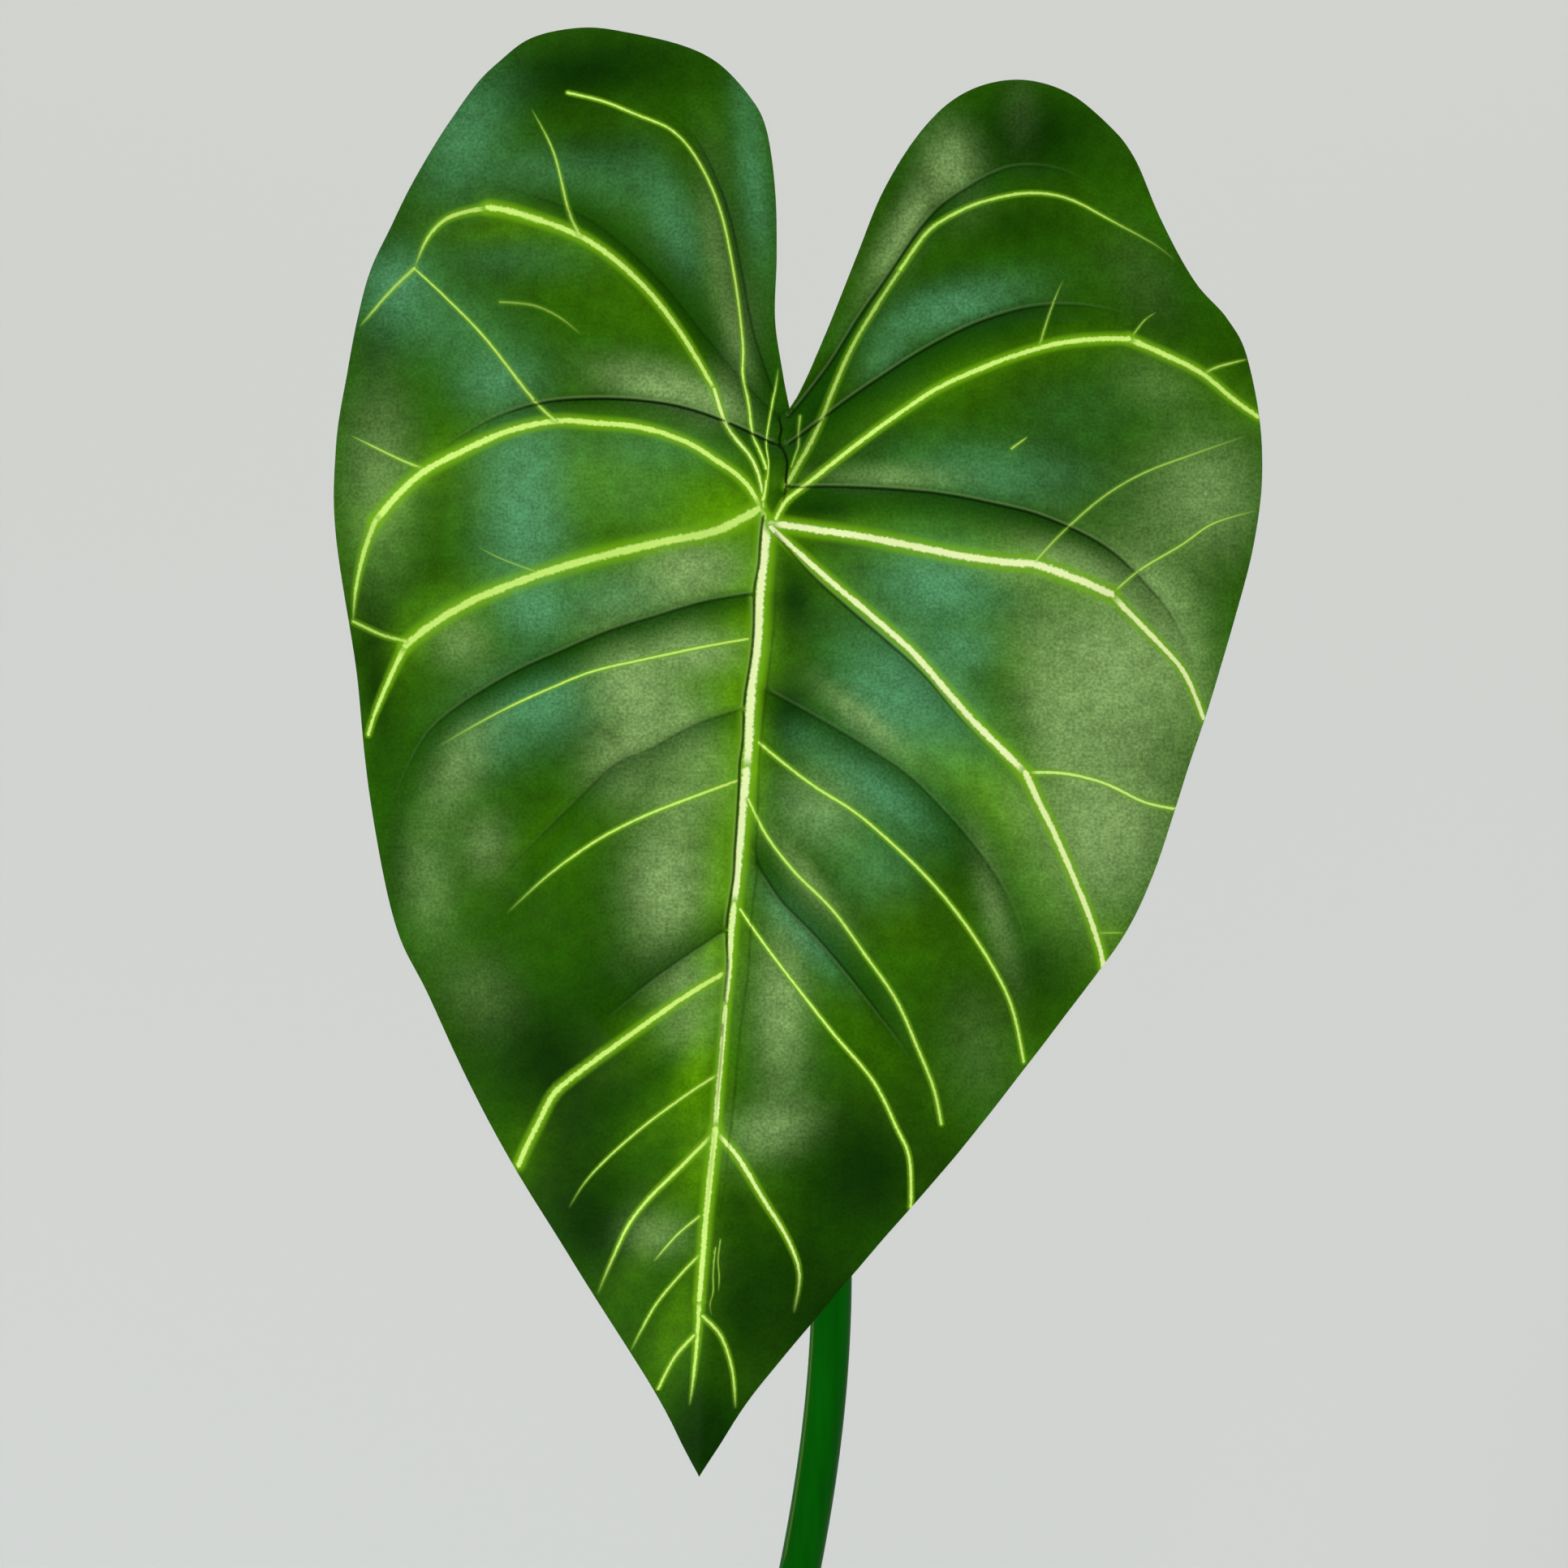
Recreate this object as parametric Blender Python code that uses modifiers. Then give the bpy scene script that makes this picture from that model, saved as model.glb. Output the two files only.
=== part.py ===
"""An artificial potted taro: one pressed and printed leaf on a wired plastic stem, in a plain weighted pot.

Metres, +Z up. The origin is the centre of the pot's base. The leaf's printed side faces -Y and a little up.
"""

from math import cos, hypot, pi, radians, sin

import bmesh
import bpy
from mathutils import Vector
from mathutils.geometry import delaunay_2d_cdt

# Driving dimensions, in metres and degrees. Each is set by itself.
clearance = 0.0003          # gap between two pieces that touch

pot_height = 0.150
pot_rim_radius = 0.085      # outside, at the collar
pot_base_radius = 0.060
pot_wall = 0.003
pot_floor = 0.005
collar_height = 0.018
collar_step = 0.003         # how far the collar stands out of the tapered wall

dressing_drop = 0.022       # from the rim down to the top of the dressing
dressing_depth = 0.024
dressing_dome = 0.003       # how much the dressing rises towards the stem
fill_gap = 0.0005           # between the cast filler or the dressing and the pot

stem_rise = 0.455           # from the top of the dressing to the leaf's junction
stem_foot_diameter = 0.0136
stem_top_diameter = 0.0096
stem_socket_depth = 0.030   # how deep the stem stands in the filler
stem_lean = 0.013           # sideways shift of the leaf's junction from the pot's axis
stem_bow = 0.0234           # sideways bulge of the stem half-way up
neck_radius = 0.026         # of the bend that brings the stem to the back of the leaf

wire_diameter = 0.0030
wire_tail = 0.030           # bare wire below the foot of the stem, cast into the filler
wire_end_gap = 0.003        # plastic left between the wire's top end and the stem's top

leaf_length = 0.3590
leaf_width = 0.2294
leaf_tilt = 20.0            # degrees from upright, lobes leaning back and tip coming forward
leaf_thickness = 0.0006
leaf_pad_radius = 0.0115    # flat round place at the junction that the socket is sealed to
crease_depth = 0.0030        # how far the sheet between two creases stands in front of them
edge_droop = 0.006          # how far the outer edges bend back

socket_plate_radius = 0.0100
socket_plate_thickness = 0.0015
socket_length = 0.0110      # of the round boss that grips the stem's end
socket_wall = 0.0018

rib_start_diameter = 0.0030
rib_end_diameter = 0.0014

# The leaf's outline, anticlockwise from the bottom of the notch between the lobes. The units are millimetres on a
# leaf 359 long and 229 wide, measured from the junction, x to the right and y up. It is scaled to the sizes above.
RIGHT_LOBE = [(5, 30), (8.5, 36), (15.4, 52), (21.8, 68), (28.4, 84), (38, 99), (48.6, 108), (61.4, 111),
              (73.6, 108), (84, 100), (90.2, 92), (96.6, 77), (105.5, 61), (113.2, 52), (118.4, 42), (121.8, 21)]
RIGHT_SIDE = [(119.8, -4), (111.2, -36), (103.4, -60), (95.6, -84), (88.2, -100), (76.6, -116), (52, -148),
              (24.6, -180), (-2.2, -212), (-13, -228)]
LEFT_SIDE = [(-17.4, -234.6), (-21, -228), (-29.4, -212), (-49.6, -180), (-68.8, -148), (-84.2, -116),
             (-92.5, -98), (-98.8, -68), (-102.2, -36), (-107.2, -2), (-107.4, 18), (-105, 36), (-100.2, 60)]
LEFT_LOBE = [(-93, 76), (-84.6, 92), (-74.2, 108), (-66.6, 116), (-58.6, 121.5), (-46, 124), (-34.6, 122.8),
             (-21.6, 119.6), (-12.4, 115), (-4.8, 107), (-0.8, 99), (1.4, 84), (1.8, 68), (1.4, 52), (3.4, 38)]
TIP = (-17.4, -234.6)

# Pressed creases, in the outline's units, from the junction outwards. Each is the bottom of a groove.
CREASES = [
    [(3, 20), (-9, 25.6), (-31, 31.2), (-56, 30.6), (-81, 19)],
    [(2, 28), (-7, 37), (-27, 61), (-47, 77.4), (-70, 84), (-82, 82)],
    [(1, 34), (-4, 49), (-10.6, 80), (-16.6, 94), (-30, 105)],
    [(-4.6, -16.4), (-28, -22), (-50, -30), (-74, -42.4), (-88, -57), (-94, -70)],
    [(-6, -44.6), (-30, -55), (-50, -70), (-70, -90)],
    [(-11, -99), (-30, -112), (-41, -121)],
    [(5, 28), (22, 52), (38, 75), (58, 88.6), (80, 84)],
    [(5, 21), (30, 39), (54, 51.4), (72, 55), (89, 52)],
    [(5, 10), (40, 8.6), (68, 2.4), (92, -13), (106, -38)],
    [(1, -1), (29, -28), (46, -46), (62, -62)],
    [(-1, -40), (22, -53), (43, -70), (57, -88), (64, -112)],
    [(-3, -82), (12, -101), (36, -132)],
    [(-2, -2), (-6.6, -50), (-12, -104), (-15, -151), (-17.6, -192)],
]
MIDRIB = [(-0.4, -2), (-4.4, -50), (-9.6, -104), (-13.4, -151), (-16.6, -192)]
OUTLINE_STEPS = 2           # points between two of the outline's own points
MESH_SPACING = 0.0095       # of the points inside the leaf's outline
PAD_POINTS = 12             # around the flat place at the junction
STEM_STEPS = 30


def clear_scene():
    for obj in list(bpy.data.objects):
        bpy.data.objects.remove(obj, do_unlink=True)


def new_collection(name):
    collection = bpy.data.collections.new(name)
    bpy.context.scene.collection.children.link(collection)
    return collection


def new_material(name, colour, roughness, metallic=0.0):
    material = bpy.data.materials.new(name)
    material.use_nodes = True
    shader = material.node_tree.nodes["Principled BSDF"]
    shader.inputs["Base Color"].default_value = (*colour, 1)
    shader.inputs["Roughness"].default_value = roughness
    shader.inputs["Metallic"].default_value = metallic
    material.diffuse_color = (*colour, 1)
    return material


def new_object(name, data, collection, material=None):
    obj = bpy.data.objects.new(name, data)
    if material:
        obj.data.materials.append(material)
    collection.objects.link(obj)
    return obj


def smooth_shade(mesh):
    mesh.shade_smooth()
    mesh.set_sharp_from_angle(angle=radians(35))


# Turned pieces


def turned(name, profile, collection, material, steps=48, ring=False):
    """Spins a profile of (radius, height) about Z. A ring's profile closes on itself and never meets the axis."""
    mesh = bpy.data.meshes.new(name)
    edges = [(i, i + 1) for i in range(len(profile) - 1)]
    if ring:
        edges.append((len(profile) - 1, 0))
    mesh.from_pydata([(radius, 0, height) for radius, height in profile], edges, [])
    obj = new_object(name, mesh, collection, material)
    spin = obj.modifiers.new("spin", "SCREW")
    spin.steps = steps
    spin.render_steps = steps
    spin.use_merge_vertices = True
    spin.merge_threshold = 0.00001
    spin.use_smooth_shade = False
    return obj


def soften(obj, width):
    bevel = obj.modifiers.new("soft edges", "BEVEL")
    bevel.width = width
    bevel.segments = 2
    bevel.limit_method = "ANGLE"
    bevel.angle_limit = radians(40)


def wall_radius(height):
    """The pot's outer wall below the collar, which tapers straight to the base."""
    top = pot_rim_radius - collar_step
    return pot_base_radius + (top - pot_base_radius) * height / pot_height


def bore_radius(height):
    return wall_radius(height) - pot_wall


def make_pot(collection):
    collar_bottom = pot_height - collar_height
    profile = [(0, pot_floor), (bore_radius(pot_floor), pot_floor), (bore_radius(pot_height), pot_height),
               (pot_rim_radius, pot_height), (pot_rim_radius, collar_bottom),
               (wall_radius(collar_bottom), collar_bottom), (pot_base_radius, 0), (0, 0)]
    pot = turned("pot", profile, collection, new_material("pot_plastic", (0.030, 0.032, 0.034), 0.5))
    soften(pot, 0.0008)


dressing_top = pot_height - dressing_drop
dressing_bottom = dressing_top - dressing_depth
filler_top = dressing_bottom - clearance
stem_foot = filler_top - stem_socket_depth
wire_foot = stem_foot - wire_tail
stem_hole_radius = stem_foot_diameter / 2 + clearance
wire_hole_radius = wire_diameter / 2 + clearance


def make_filler(collection):
    bottom = pot_floor + clearance
    socket_bottom = stem_foot - clearance
    wire_hole_bottom = wire_foot - clearance
    profile = [(0, wire_hole_bottom), (wire_hole_radius, wire_hole_bottom), (wire_hole_radius, socket_bottom),
               (stem_hole_radius, socket_bottom), (stem_hole_radius, filler_top),
               (bore_radius(filler_top) - fill_gap, filler_top), (bore_radius(bottom) - fill_gap, bottom),
               (0, bottom)]
    turned("filler", profile, collection, new_material("cast_cement", (0.42, 0.41, 0.38), 0.9))


def make_dressing(collection):
    outer_top = bore_radius(dressing_top) - fill_gap
    middle = (stem_hole_radius + outer_top) / 2
    profile = [(stem_hole_radius, dressing_bottom), (stem_hole_radius, dressing_top + dressing_dome),
               (middle, dressing_top + dressing_dome * 0.6), (outer_top, dressing_top),
               (bore_radius(dressing_bottom) - fill_gap, dressing_bottom)]
    material = new_material("dark_dressing", (0.045, 0.030, 0.020), 0.95)
    turned("dressing", profile, collection, material, ring=True)


# The stem


tilt = radians(leaf_tilt)
leaf_normal = Vector((0, -cos(tilt), sin(tilt)))
neck_turn = pi / 2 - tilt
stem_end_depth = leaf_thickness + clearance + socket_plate_thickness + clearance
straight_end = stem_end_depth + socket_length
junction = Vector((stem_lean, -neck_radius * (1 - cos(neck_turn)) - straight_end * cos(tilt),
                   dressing_top + stem_rise))
neck_start_height = junction.z - straight_end * sin(tilt) - neck_radius * sin(neck_turn)
leaf_turn = (neck_turn, 0, 0)


def stem_centre(height):
    """A point of the bowed stretch between the dressing and the neck."""
    rise = (height - dressing_top) / (neck_start_height - dressing_top)
    return Vector((stem_lean * rise + stem_bow * max(sin(pi * rise), 0) ** 1.5, 0, height))


def stem_path(foot, end_depth):
    """The centre line from a foot on the pot's axis up to a depth behind the leaf's junction."""
    points = [Vector((0, 0, foot)), Vector((0, 0, (foot + dressing_top) / 2))]
    for i in range(STEM_STEPS + 1):
        height = dressing_top + (neck_start_height - dressing_top) * i / STEM_STEPS
        points.append(stem_centre(height))
    for i in range(1, 7):
        turn = neck_turn * i / 6
        points.append(Vector((stem_lean, -neck_radius * (1 - cos(turn)),
                              neck_start_height + neck_radius * sin(turn))))
    points.append(junction - leaf_normal * end_depth)
    return points


def tube(name, points, start_radius, end_radius, sides_level, collection, material=None):
    """A round curve object through the points, its radius running evenly from one end to the other."""
    curve = bpy.data.curves.new(name, "CURVE")
    curve.dimensions = "3D"
    curve.bevel_depth = 1.0
    curve.bevel_resolution = sides_level
    curve.use_fill_caps = True
    spline = curve.splines.new("POLY")
    spline.points.add(len(points) - 1)
    lengths = [0.0]
    for before, after in zip(points, points[1:]):
        lengths.append(lengths[-1] + (after - before).length)
    for i, point in enumerate(points):
        share = lengths[i] / lengths[-1]
        spline.points[i].co = (*point, 1)
        spline.points[i].radius = start_radius + (end_radius - start_radius) * share
    return new_object(name, curve, collection, material)


def as_mesh(obj, collection):
    """Replaces a curve object with a mesh object of the same name, its caps welded on."""
    bpy.context.view_layer.update()
    evaluated = obj.evaluated_get(bpy.context.evaluated_depsgraph_get())
    mesh = bpy.data.meshes.new_from_object(evaluated)
    shape = bmesh.new()
    shape.from_mesh(mesh)
    bmesh.ops.remove_doubles(shape, verts=shape.verts, dist=0.00001)
    shape.to_mesh(mesh)
    shape.free()
    name = obj.name
    place = obj.matrix_world.copy()
    bpy.data.objects.remove(obj, do_unlink=True)
    solid = new_object(name, mesh, collection)
    solid.matrix_world = place
    return solid


def make_stem(collection, cutters):
    plastic = new_material("stem_plastic", (0.005, 0.105, 0.006), 0.38)
    sleeve = tube("stem_sleeve", stem_path(stem_foot, stem_end_depth), stem_foot_diameter / 2,
                  stem_top_diameter / 2, 3, collection, plastic)
    sleeve = as_mesh(sleeve, collection)
    bore = tube("wire_bore", stem_path(stem_foot - 0.002, stem_end_depth + wire_end_gap),
                wire_hole_radius, wire_hole_radius, 1, cutters)
    bore = as_mesh(bore, cutters)
    bore.hide_render = True
    bore.display_type = "WIRE"
    cut = sleeve.modifiers.new("wire bore", "BOOLEAN")
    cut.operation = "DIFFERENCE"
    cut.solver = "EXACT"
    cut.object = bore
    smooth_shade(sleeve.data)
    steel = new_material("wire_steel", (0.45, 0.45, 0.46), 0.35, 1.0)
    tube("stem_wire", stem_path(wire_foot, stem_end_depth + wire_end_gap + clearance),
         wire_diameter / 2, wire_diameter / 2, 1, collection, steel)


# The leaf


def catmull(points, steps, closed):
    """Points along a smooth curve that passes through every given point."""
    count = len(points)
    result = []
    for i in range(count if closed else count - 1):
        near = [points[(i + k) % count] if closed else points[min(max(i + k, 0), count - 1)] for k in (-1, 0, 1, 2)]
        for step in range(steps):
            t = step / steps
            weights = (-t + 2 * t ** 2 - t ** 3, 2 - 5 * t ** 2 + 3 * t ** 3, t + 4 * t ** 2 - 3 * t ** 3,
                       t ** 3 - t ** 2)
            result.append(tuple(sum(w * p[axis] for w, p in zip(weights, near)) / 2 for axis in (0, 1)))
    if not closed:
        result.append(tuple(points[-1]))
    return result


drawn = RIGHT_LOBE + RIGHT_SIDE + LEFT_SIDE + LEFT_LOBE
drawn_width = max(x for x, y in drawn) - min(x for x, y in drawn)
drawn_length = max(y for x, y in drawn) - min(y for x, y in drawn)
scale_x = leaf_width / drawn_width
scale_y = leaf_length / drawn_length


def to_leaf(points):
    return [(x * scale_x, y * scale_y) for x, y in points]


def leaf_outline():
    """The closed outline, smooth everywhere except at the notch and the tip, where it turns sharply."""
    right = catmull(to_leaf(RIGHT_LOBE + RIGHT_SIDE + [TIP]), OUTLINE_STEPS, False)
    left = catmull(to_leaf(LEFT_SIDE + LEFT_LOBE + RIGHT_LOBE[:1]), OUTLINE_STEPS, False)
    return right[:-1] + left[:-1]


def distance_to_line(x, y, line):
    """Distance from a point to a line of points, and the share of the line's length where it is nearest."""
    best = 1.0
    share = 0.0
    for i, (a, b) in enumerate(zip(line, line[1:])):
        ax, ay, bx, by = *a, *b
        length_squared = (bx - ax) ** 2 + (by - ay) ** 2
        t = min(max(((x - ax) * (bx - ax) + (y - ay) * (by - ay)) / length_squared, 0), 1)
        distance = hypot(x - ax - t * (bx - ax), y - ay - t * (by - ay))
        if distance < best:
            best = distance
            share = (i + t) / (len(line) - 1)
    return best, share


creases = [catmull(to_leaf(crease), 3, False) for crease in CREASES]
outline = leaf_outline()
GROOVE_REACH = 0.013        # how far from a crease the sheet still rises
CREASE_FADE = 0.25          # the share of a crease, at its outer end, over which it runs out


def leaf_height(x, y):
    """How far the printed side stands in front of the flat place at the junction."""
    groove = 0.0
    for crease in creases:
        distance, share = distance_to_line(x, y, crease)
        fade = min((1 - share) / CREASE_FADE, 1)
        groove = max(groove, fade * (1 - min(distance / GROOVE_REACH, 1)) ** 2)
    edge = distance_to_line(x, y, outline + outline[:1])[0]
    droop = edge_droop * (1 - min(edge / 0.045, 1)) ** 2
    from_pad = hypot(x, y) - leaf_pad_radius
    pad_blend = min(max(from_pad / leaf_pad_radius, 0), 1)
    return (crease_depth * (1 - groove) - droop) * pad_blend


def make_blade(collection):
    inside = []
    rows = int(leaf_length / MESH_SPACING) + 2
    columns = int(leaf_width / MESH_SPACING) + 2
    for row in range(-rows, rows):
        for column in range(-columns, columns):
            inside.append(((column + row % 2 / 2) * MESH_SPACING, row * MESH_SPACING * 0.87))
    inside = [p for p in inside if distance_to_line(*p, outline + outline[:1])[0] > MESH_SPACING * 0.45]
    inside = [p for p in inside if abs(hypot(*p) - leaf_pad_radius) > MESH_SPACING * 0.5]
    pad_edge = [(leaf_pad_radius * cos(2 * pi * i / PAD_POINTS), leaf_pad_radius * sin(2 * pi * i / PAD_POINTS))
                for i in range(PAD_POINTS)]
    flat = [Vector(p) for p in outline + inside + pad_edge]
    loop = list(range(len(outline)))
    points, _, faces, _, _, _ = delaunay_2d_cdt(flat, [], [loop], 1, 0.000001)
    used = sorted({i for face in faces for i in face})
    renumber = {old: new for new, old in enumerate(used)}
    corners = [(points[i].x, points[i].y, leaf_height(points[i].x, points[i].y)) for i in used]
    mesh = bpy.data.meshes.new("leaf_blade")
    mesh.from_pydata(corners, [], [[renumber[i] for i in face] for face in faces])
    blade = new_object("leaf_blade", mesh, collection, new_material("printed_leaf", (0.020, 0.095, 0.012), 0.42))
    blade.location = junction
    blade.rotation_euler = leaf_turn
    shell = blade.modifiers.new("sheet", "SOLIDIFY")
    shell.thickness = leaf_thickness
    shell.offset = -1
    shell.use_even_offset = True
    mesh.shade_smooth()


def make_socket(collection):
    top = -leaf_thickness - clearance
    plate_bottom = top - socket_plate_thickness
    boss_bottom = plate_bottom - socket_length
    bore = stem_top_diameter / 2 + clearance * 1.5
    profile = [(0, top), (socket_plate_radius, top), (socket_plate_radius, plate_bottom),
               (bore + socket_wall, plate_bottom), (bore + socket_wall, boss_bottom), (bore, boss_bottom),
               (bore, plate_bottom), (0, plate_bottom)]
    socket = turned("leaf_socket", profile, collection, bpy.data.materials["stem_plastic"], steps=24)
    socket.location = junction
    socket.rotation_euler = leaf_turn


def make_rib(collection):
    """The plastic rib behind the midrib, just under the lowest part of the sheet across its own width."""
    path = []
    centre = catmull(to_leaf(MIDRIB), 5, False)
    clear_of_plate = [p for p in centre if hypot(*p) > socket_plate_radius + rib_start_diameter]
    radius = rib_start_diameter / 2
    for x, y in clear_of_plate:
        near = [leaf_height(x + dx * radius, y + dy * radius) for dx in (-2, -1, 0, 1, 2) for dy in (-3, 0, 3)]
        path.append(Vector((x, y, min(near) - leaf_thickness * 1.2 - clearance - radius)))
    rib = tube("back_rib", path, radius, rib_end_diameter / 2, 1, collection, bpy.data.materials["stem_plastic"])
    rib.location = junction
    rib.rotation_euler = leaf_turn


clear_scene()
taro = new_collection("potted_taro")
cutting = new_collection("cutters")
make_pot(taro)
make_filler(taro)
make_dressing(taro)
make_stem(taro, cutting)
make_blade(taro)
make_socket(taro)
make_rib(taro)
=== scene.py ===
# %% [markdown]
# # An artificial potted taro
# One large printed leaf stands on a wired plastic stem in a plain weighted pot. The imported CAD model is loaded
# first and stays as it is: it fixes every size and place. The pieces that show are then made finer around it, and
# each one ends up at the origin with its place in its mesh, riding on the CAD body "root".

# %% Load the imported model
from math import cos, pi, radians, sin, sqrt
from random import Random

import bmesh
import bpy
import numpy as np
from mathutils import Matrix, Vector, noise
from mathutils.geometry import delaunay_2d_cdt


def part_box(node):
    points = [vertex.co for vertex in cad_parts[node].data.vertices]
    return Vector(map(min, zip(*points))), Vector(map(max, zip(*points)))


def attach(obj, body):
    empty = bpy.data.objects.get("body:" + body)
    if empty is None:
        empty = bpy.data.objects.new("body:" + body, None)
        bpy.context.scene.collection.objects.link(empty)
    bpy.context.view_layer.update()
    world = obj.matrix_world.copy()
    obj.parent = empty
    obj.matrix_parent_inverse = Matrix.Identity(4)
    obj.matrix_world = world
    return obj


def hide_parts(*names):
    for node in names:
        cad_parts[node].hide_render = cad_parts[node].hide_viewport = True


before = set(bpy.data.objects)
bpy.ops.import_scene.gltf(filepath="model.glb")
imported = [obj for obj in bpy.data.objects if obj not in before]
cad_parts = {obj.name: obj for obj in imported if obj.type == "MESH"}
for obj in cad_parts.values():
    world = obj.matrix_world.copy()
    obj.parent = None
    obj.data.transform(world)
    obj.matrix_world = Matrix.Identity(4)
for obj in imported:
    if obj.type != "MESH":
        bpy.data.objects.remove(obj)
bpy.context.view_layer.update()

MM = 0.001

# %% [markdown]
# ## The leaf's own plane
# The blade leans back by 20 degrees. Its junction, where the stem meets it, is the origin of the leaf's drawing:
# x to the right, y up along the leaf, z out of its printed side. The junction's place is read from the round plate
# of the CAD socket, which lies flat behind it: the plate's box gives its centre.

# %% Find the junction from the socket's plate
LEAF_TILT = radians(20)
SHEET = 0.6 * MM
GLUE_GAP = 0.3 * MM
right = Vector((1, 0, 0))
up_leaf = Vector((0, sin(LEAF_TILT), cos(LEAF_TILT)))
out_leaf = Vector((0, -cos(LEAF_TILT), sin(LEAF_TILT)))

plate_low, plate_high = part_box("leaf_socket")
plate_radius = (plate_high.x - plate_low.x) / 2
plate_centre = Vector(((plate_low.x + plate_high.x) / 2, plate_low.y + plate_radius * sin(LEAF_TILT),
                       plate_high.z - plate_radius * cos(LEAF_TILT)))
junction = plate_centre + out_leaf * (SHEET + GLUE_GAP)
leaf_to_world = Matrix.Translation(junction) @ Matrix((right, up_leaf, out_leaf)).transposed().to_4x4()
print("junction at", [round(v, 4) for v in junction])

# %% [markdown]
# ## Small helpers
# Colours are written as sRGB hex values, the way a paint chart gives them, and one function turns them into the
# linear values that Blender's shaders take. One function adds a shader node with its settings and its links. One
# puts a finished piece on the frame.

# %% Colour, node and piece helpers
def linear(hex_colour):
    """An sRGB hex colour, such as "2f5a14", as linear RGBA."""
    values = [int(hex_colour[i:i + 2], 16) / 255 for i in (0, 2, 4)]
    return (*[v / 12.92 if v <= 0.04045 else ((v + 0.055) / 1.055) ** 2.4 for v in values], 1)


def pick(sockets, key):
    """A socket by its number, or the one of that name that is in use: a Mix node has several called A."""
    return sockets[key] if isinstance(key, int) else next(s for s in sockets if s.name == key and s.enabled)


def join(tree, source, output, target, key):
    tree.links.new(pick(source.outputs, output), pick(target.inputs, key))


def add(tree, kind, inputs=None, **settings):
    """Adds a node. An input's value is a constant, or (node, output) for a link."""
    node = tree.nodes.new(kind)
    for name, value in settings.items():
        setattr(node, name, value)
    for key, value in (inputs or {}).items():
        if isinstance(value, tuple) and isinstance(value[0], bpy.types.Node):
            join(tree, *value, node, key)
        else:
            pick(node.inputs, key).default_value = value
    return node


def new_material(name, **shader_values):
    """A material whose only shader is a Principled BSDF with these values. Returns (material, tree, shader)."""
    material = bpy.data.materials.new(name)
    material.use_nodes = True
    tree = material.node_tree
    shader = tree.nodes["Principled BSDF"]
    for socket, value in shader_values.items():
        shader.inputs[socket.replace("_", " ")].default_value = value
    return material, tree, shader


def finish_piece(obj, slot, *replaced):
    """Puts a finished piece on the frame: its place goes into its mesh, and it stands for the CAD nodes."""
    obj.data.transform(obj.matrix_world)
    obj.matrix_world = Matrix.Identity(4)
    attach(obj, "root")
    if replaced:
        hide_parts(*replaced)
    print(obj.name, "has", len(obj.data.polygons), "faces")


# %% [markdown]
# ## The camera
# The leaf is seen square on: the camera stands on the line that leaves the blade at a right angle, so it looks down
# by the same 20 degrees that the blade leans back. The picture is square and takes in 386 mm at the blade.

# %% Place the camera
VIEW_DISTANCE = 700 * MM
VIEW_WIDTH = 386.4 * MM
view_centre = junction + right * 3.6 * MM - up_leaf * 63.2 * MM
camera_data = bpy.data.cameras.new("camera")
camera = bpy.data.objects.new("camera", camera_data)
bpy.context.scene.collection.objects.link(camera)
camera_data.sensor_width = 36
camera_data.lens = camera_data.sensor_width * VIEW_DISTANCE / VIEW_WIDTH
camera.matrix_world = (Matrix.Translation(view_centre + out_leaf * VIEW_DISTANCE)
                       @ Matrix((right, up_leaf, out_leaf)).transposed().to_4x4())
bpy.context.scene.camera = camera
print("lens", round(camera_data.lens, 1), "mm")

# %% [markdown]
# ## The blade: its outline
# The real blade is stamped from one sheet of coated fabric, then pressed in a hot mould. So it is drawn flat first.
# The outline is a handful of points, joined by a smooth curve through all of them, and turns sharply only at the
# tip and at the notch between the lobes. All drawing is in millimetres from the junction.

# %% Draw the outline
def smooth_line(points, spacing):
    """A smooth curve through every given point, as points about this far apart."""
    result = []
    for i in range(len(points) - 1):
        a, b, c, d = [np.array(points[min(max(i + k, 0), len(points) - 1)], float) for k in (-1, 0, 1, 2)]
        steps = max(int(np.linalg.norm(c - b) / spacing + 0.5), 1)
        for t in np.arange(steps) / steps:
            result.append((a * (-t + 2 * t**2 - t**3) + b * (2 - 5 * t**2 + 3 * t**3)
                           + c * (t + 4 * t**2 - 3 * t**3) + d * (t**3 - t**2)) / 2)
    return np.array(result + [np.array(points[-1], float)])


NOTCH = (5, 30)
TIP = (-17.4, -234.6)
RIGHT_EDGE = [NOTCH, (8.5, 36), (15.4, 52), (21.8, 68), (28.4, 84), (38, 99), (48.6, 108), (61.4, 111),
              (73.6, 108), (84, 100), (90.2, 92), (96.6, 77), (105.5, 61), (113.2, 52), (118.4, 42), (121.8, 21),
              (119.8, -4), (111.2, -36), (103.4, -60), (95.6, -84), (88.2, -100), (76.6, -116), (52, -148),
              (24.6, -180), (-2.2, -212), (-13, -228), TIP]
LEFT_EDGE = [TIP, (-21, -228), (-29.4, -212), (-49.6, -180), (-68.8, -148), (-84.2, -116), (-92.5, -98),
             (-98.8, -68), (-102.2, -36), (-107.2, -2), (-107.4, 18), (-105, 36), (-100.2, 60), (-93, 76),
             (-84.6, 92), (-74.2, 108), (-66.6, 116), (-58.6, 121.5), (-46, 124), (-34.6, 122.8), (-21.6, 119.6),
             (-12.4, 115), (-4.8, 107), (-0.8, 99), (1.4, 84), (1.8, 68), (1.4, 52), (3.4, 38), NOTCH]
outline = np.vstack([smooth_line(RIGHT_EDGE, 1.3)[:-1], smooth_line(LEFT_EDGE, 1.3)[:-1]])
print("outline", len(outline), "points,", (outline.max(0) - outline.min(0)).round(1), "mm")

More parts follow.
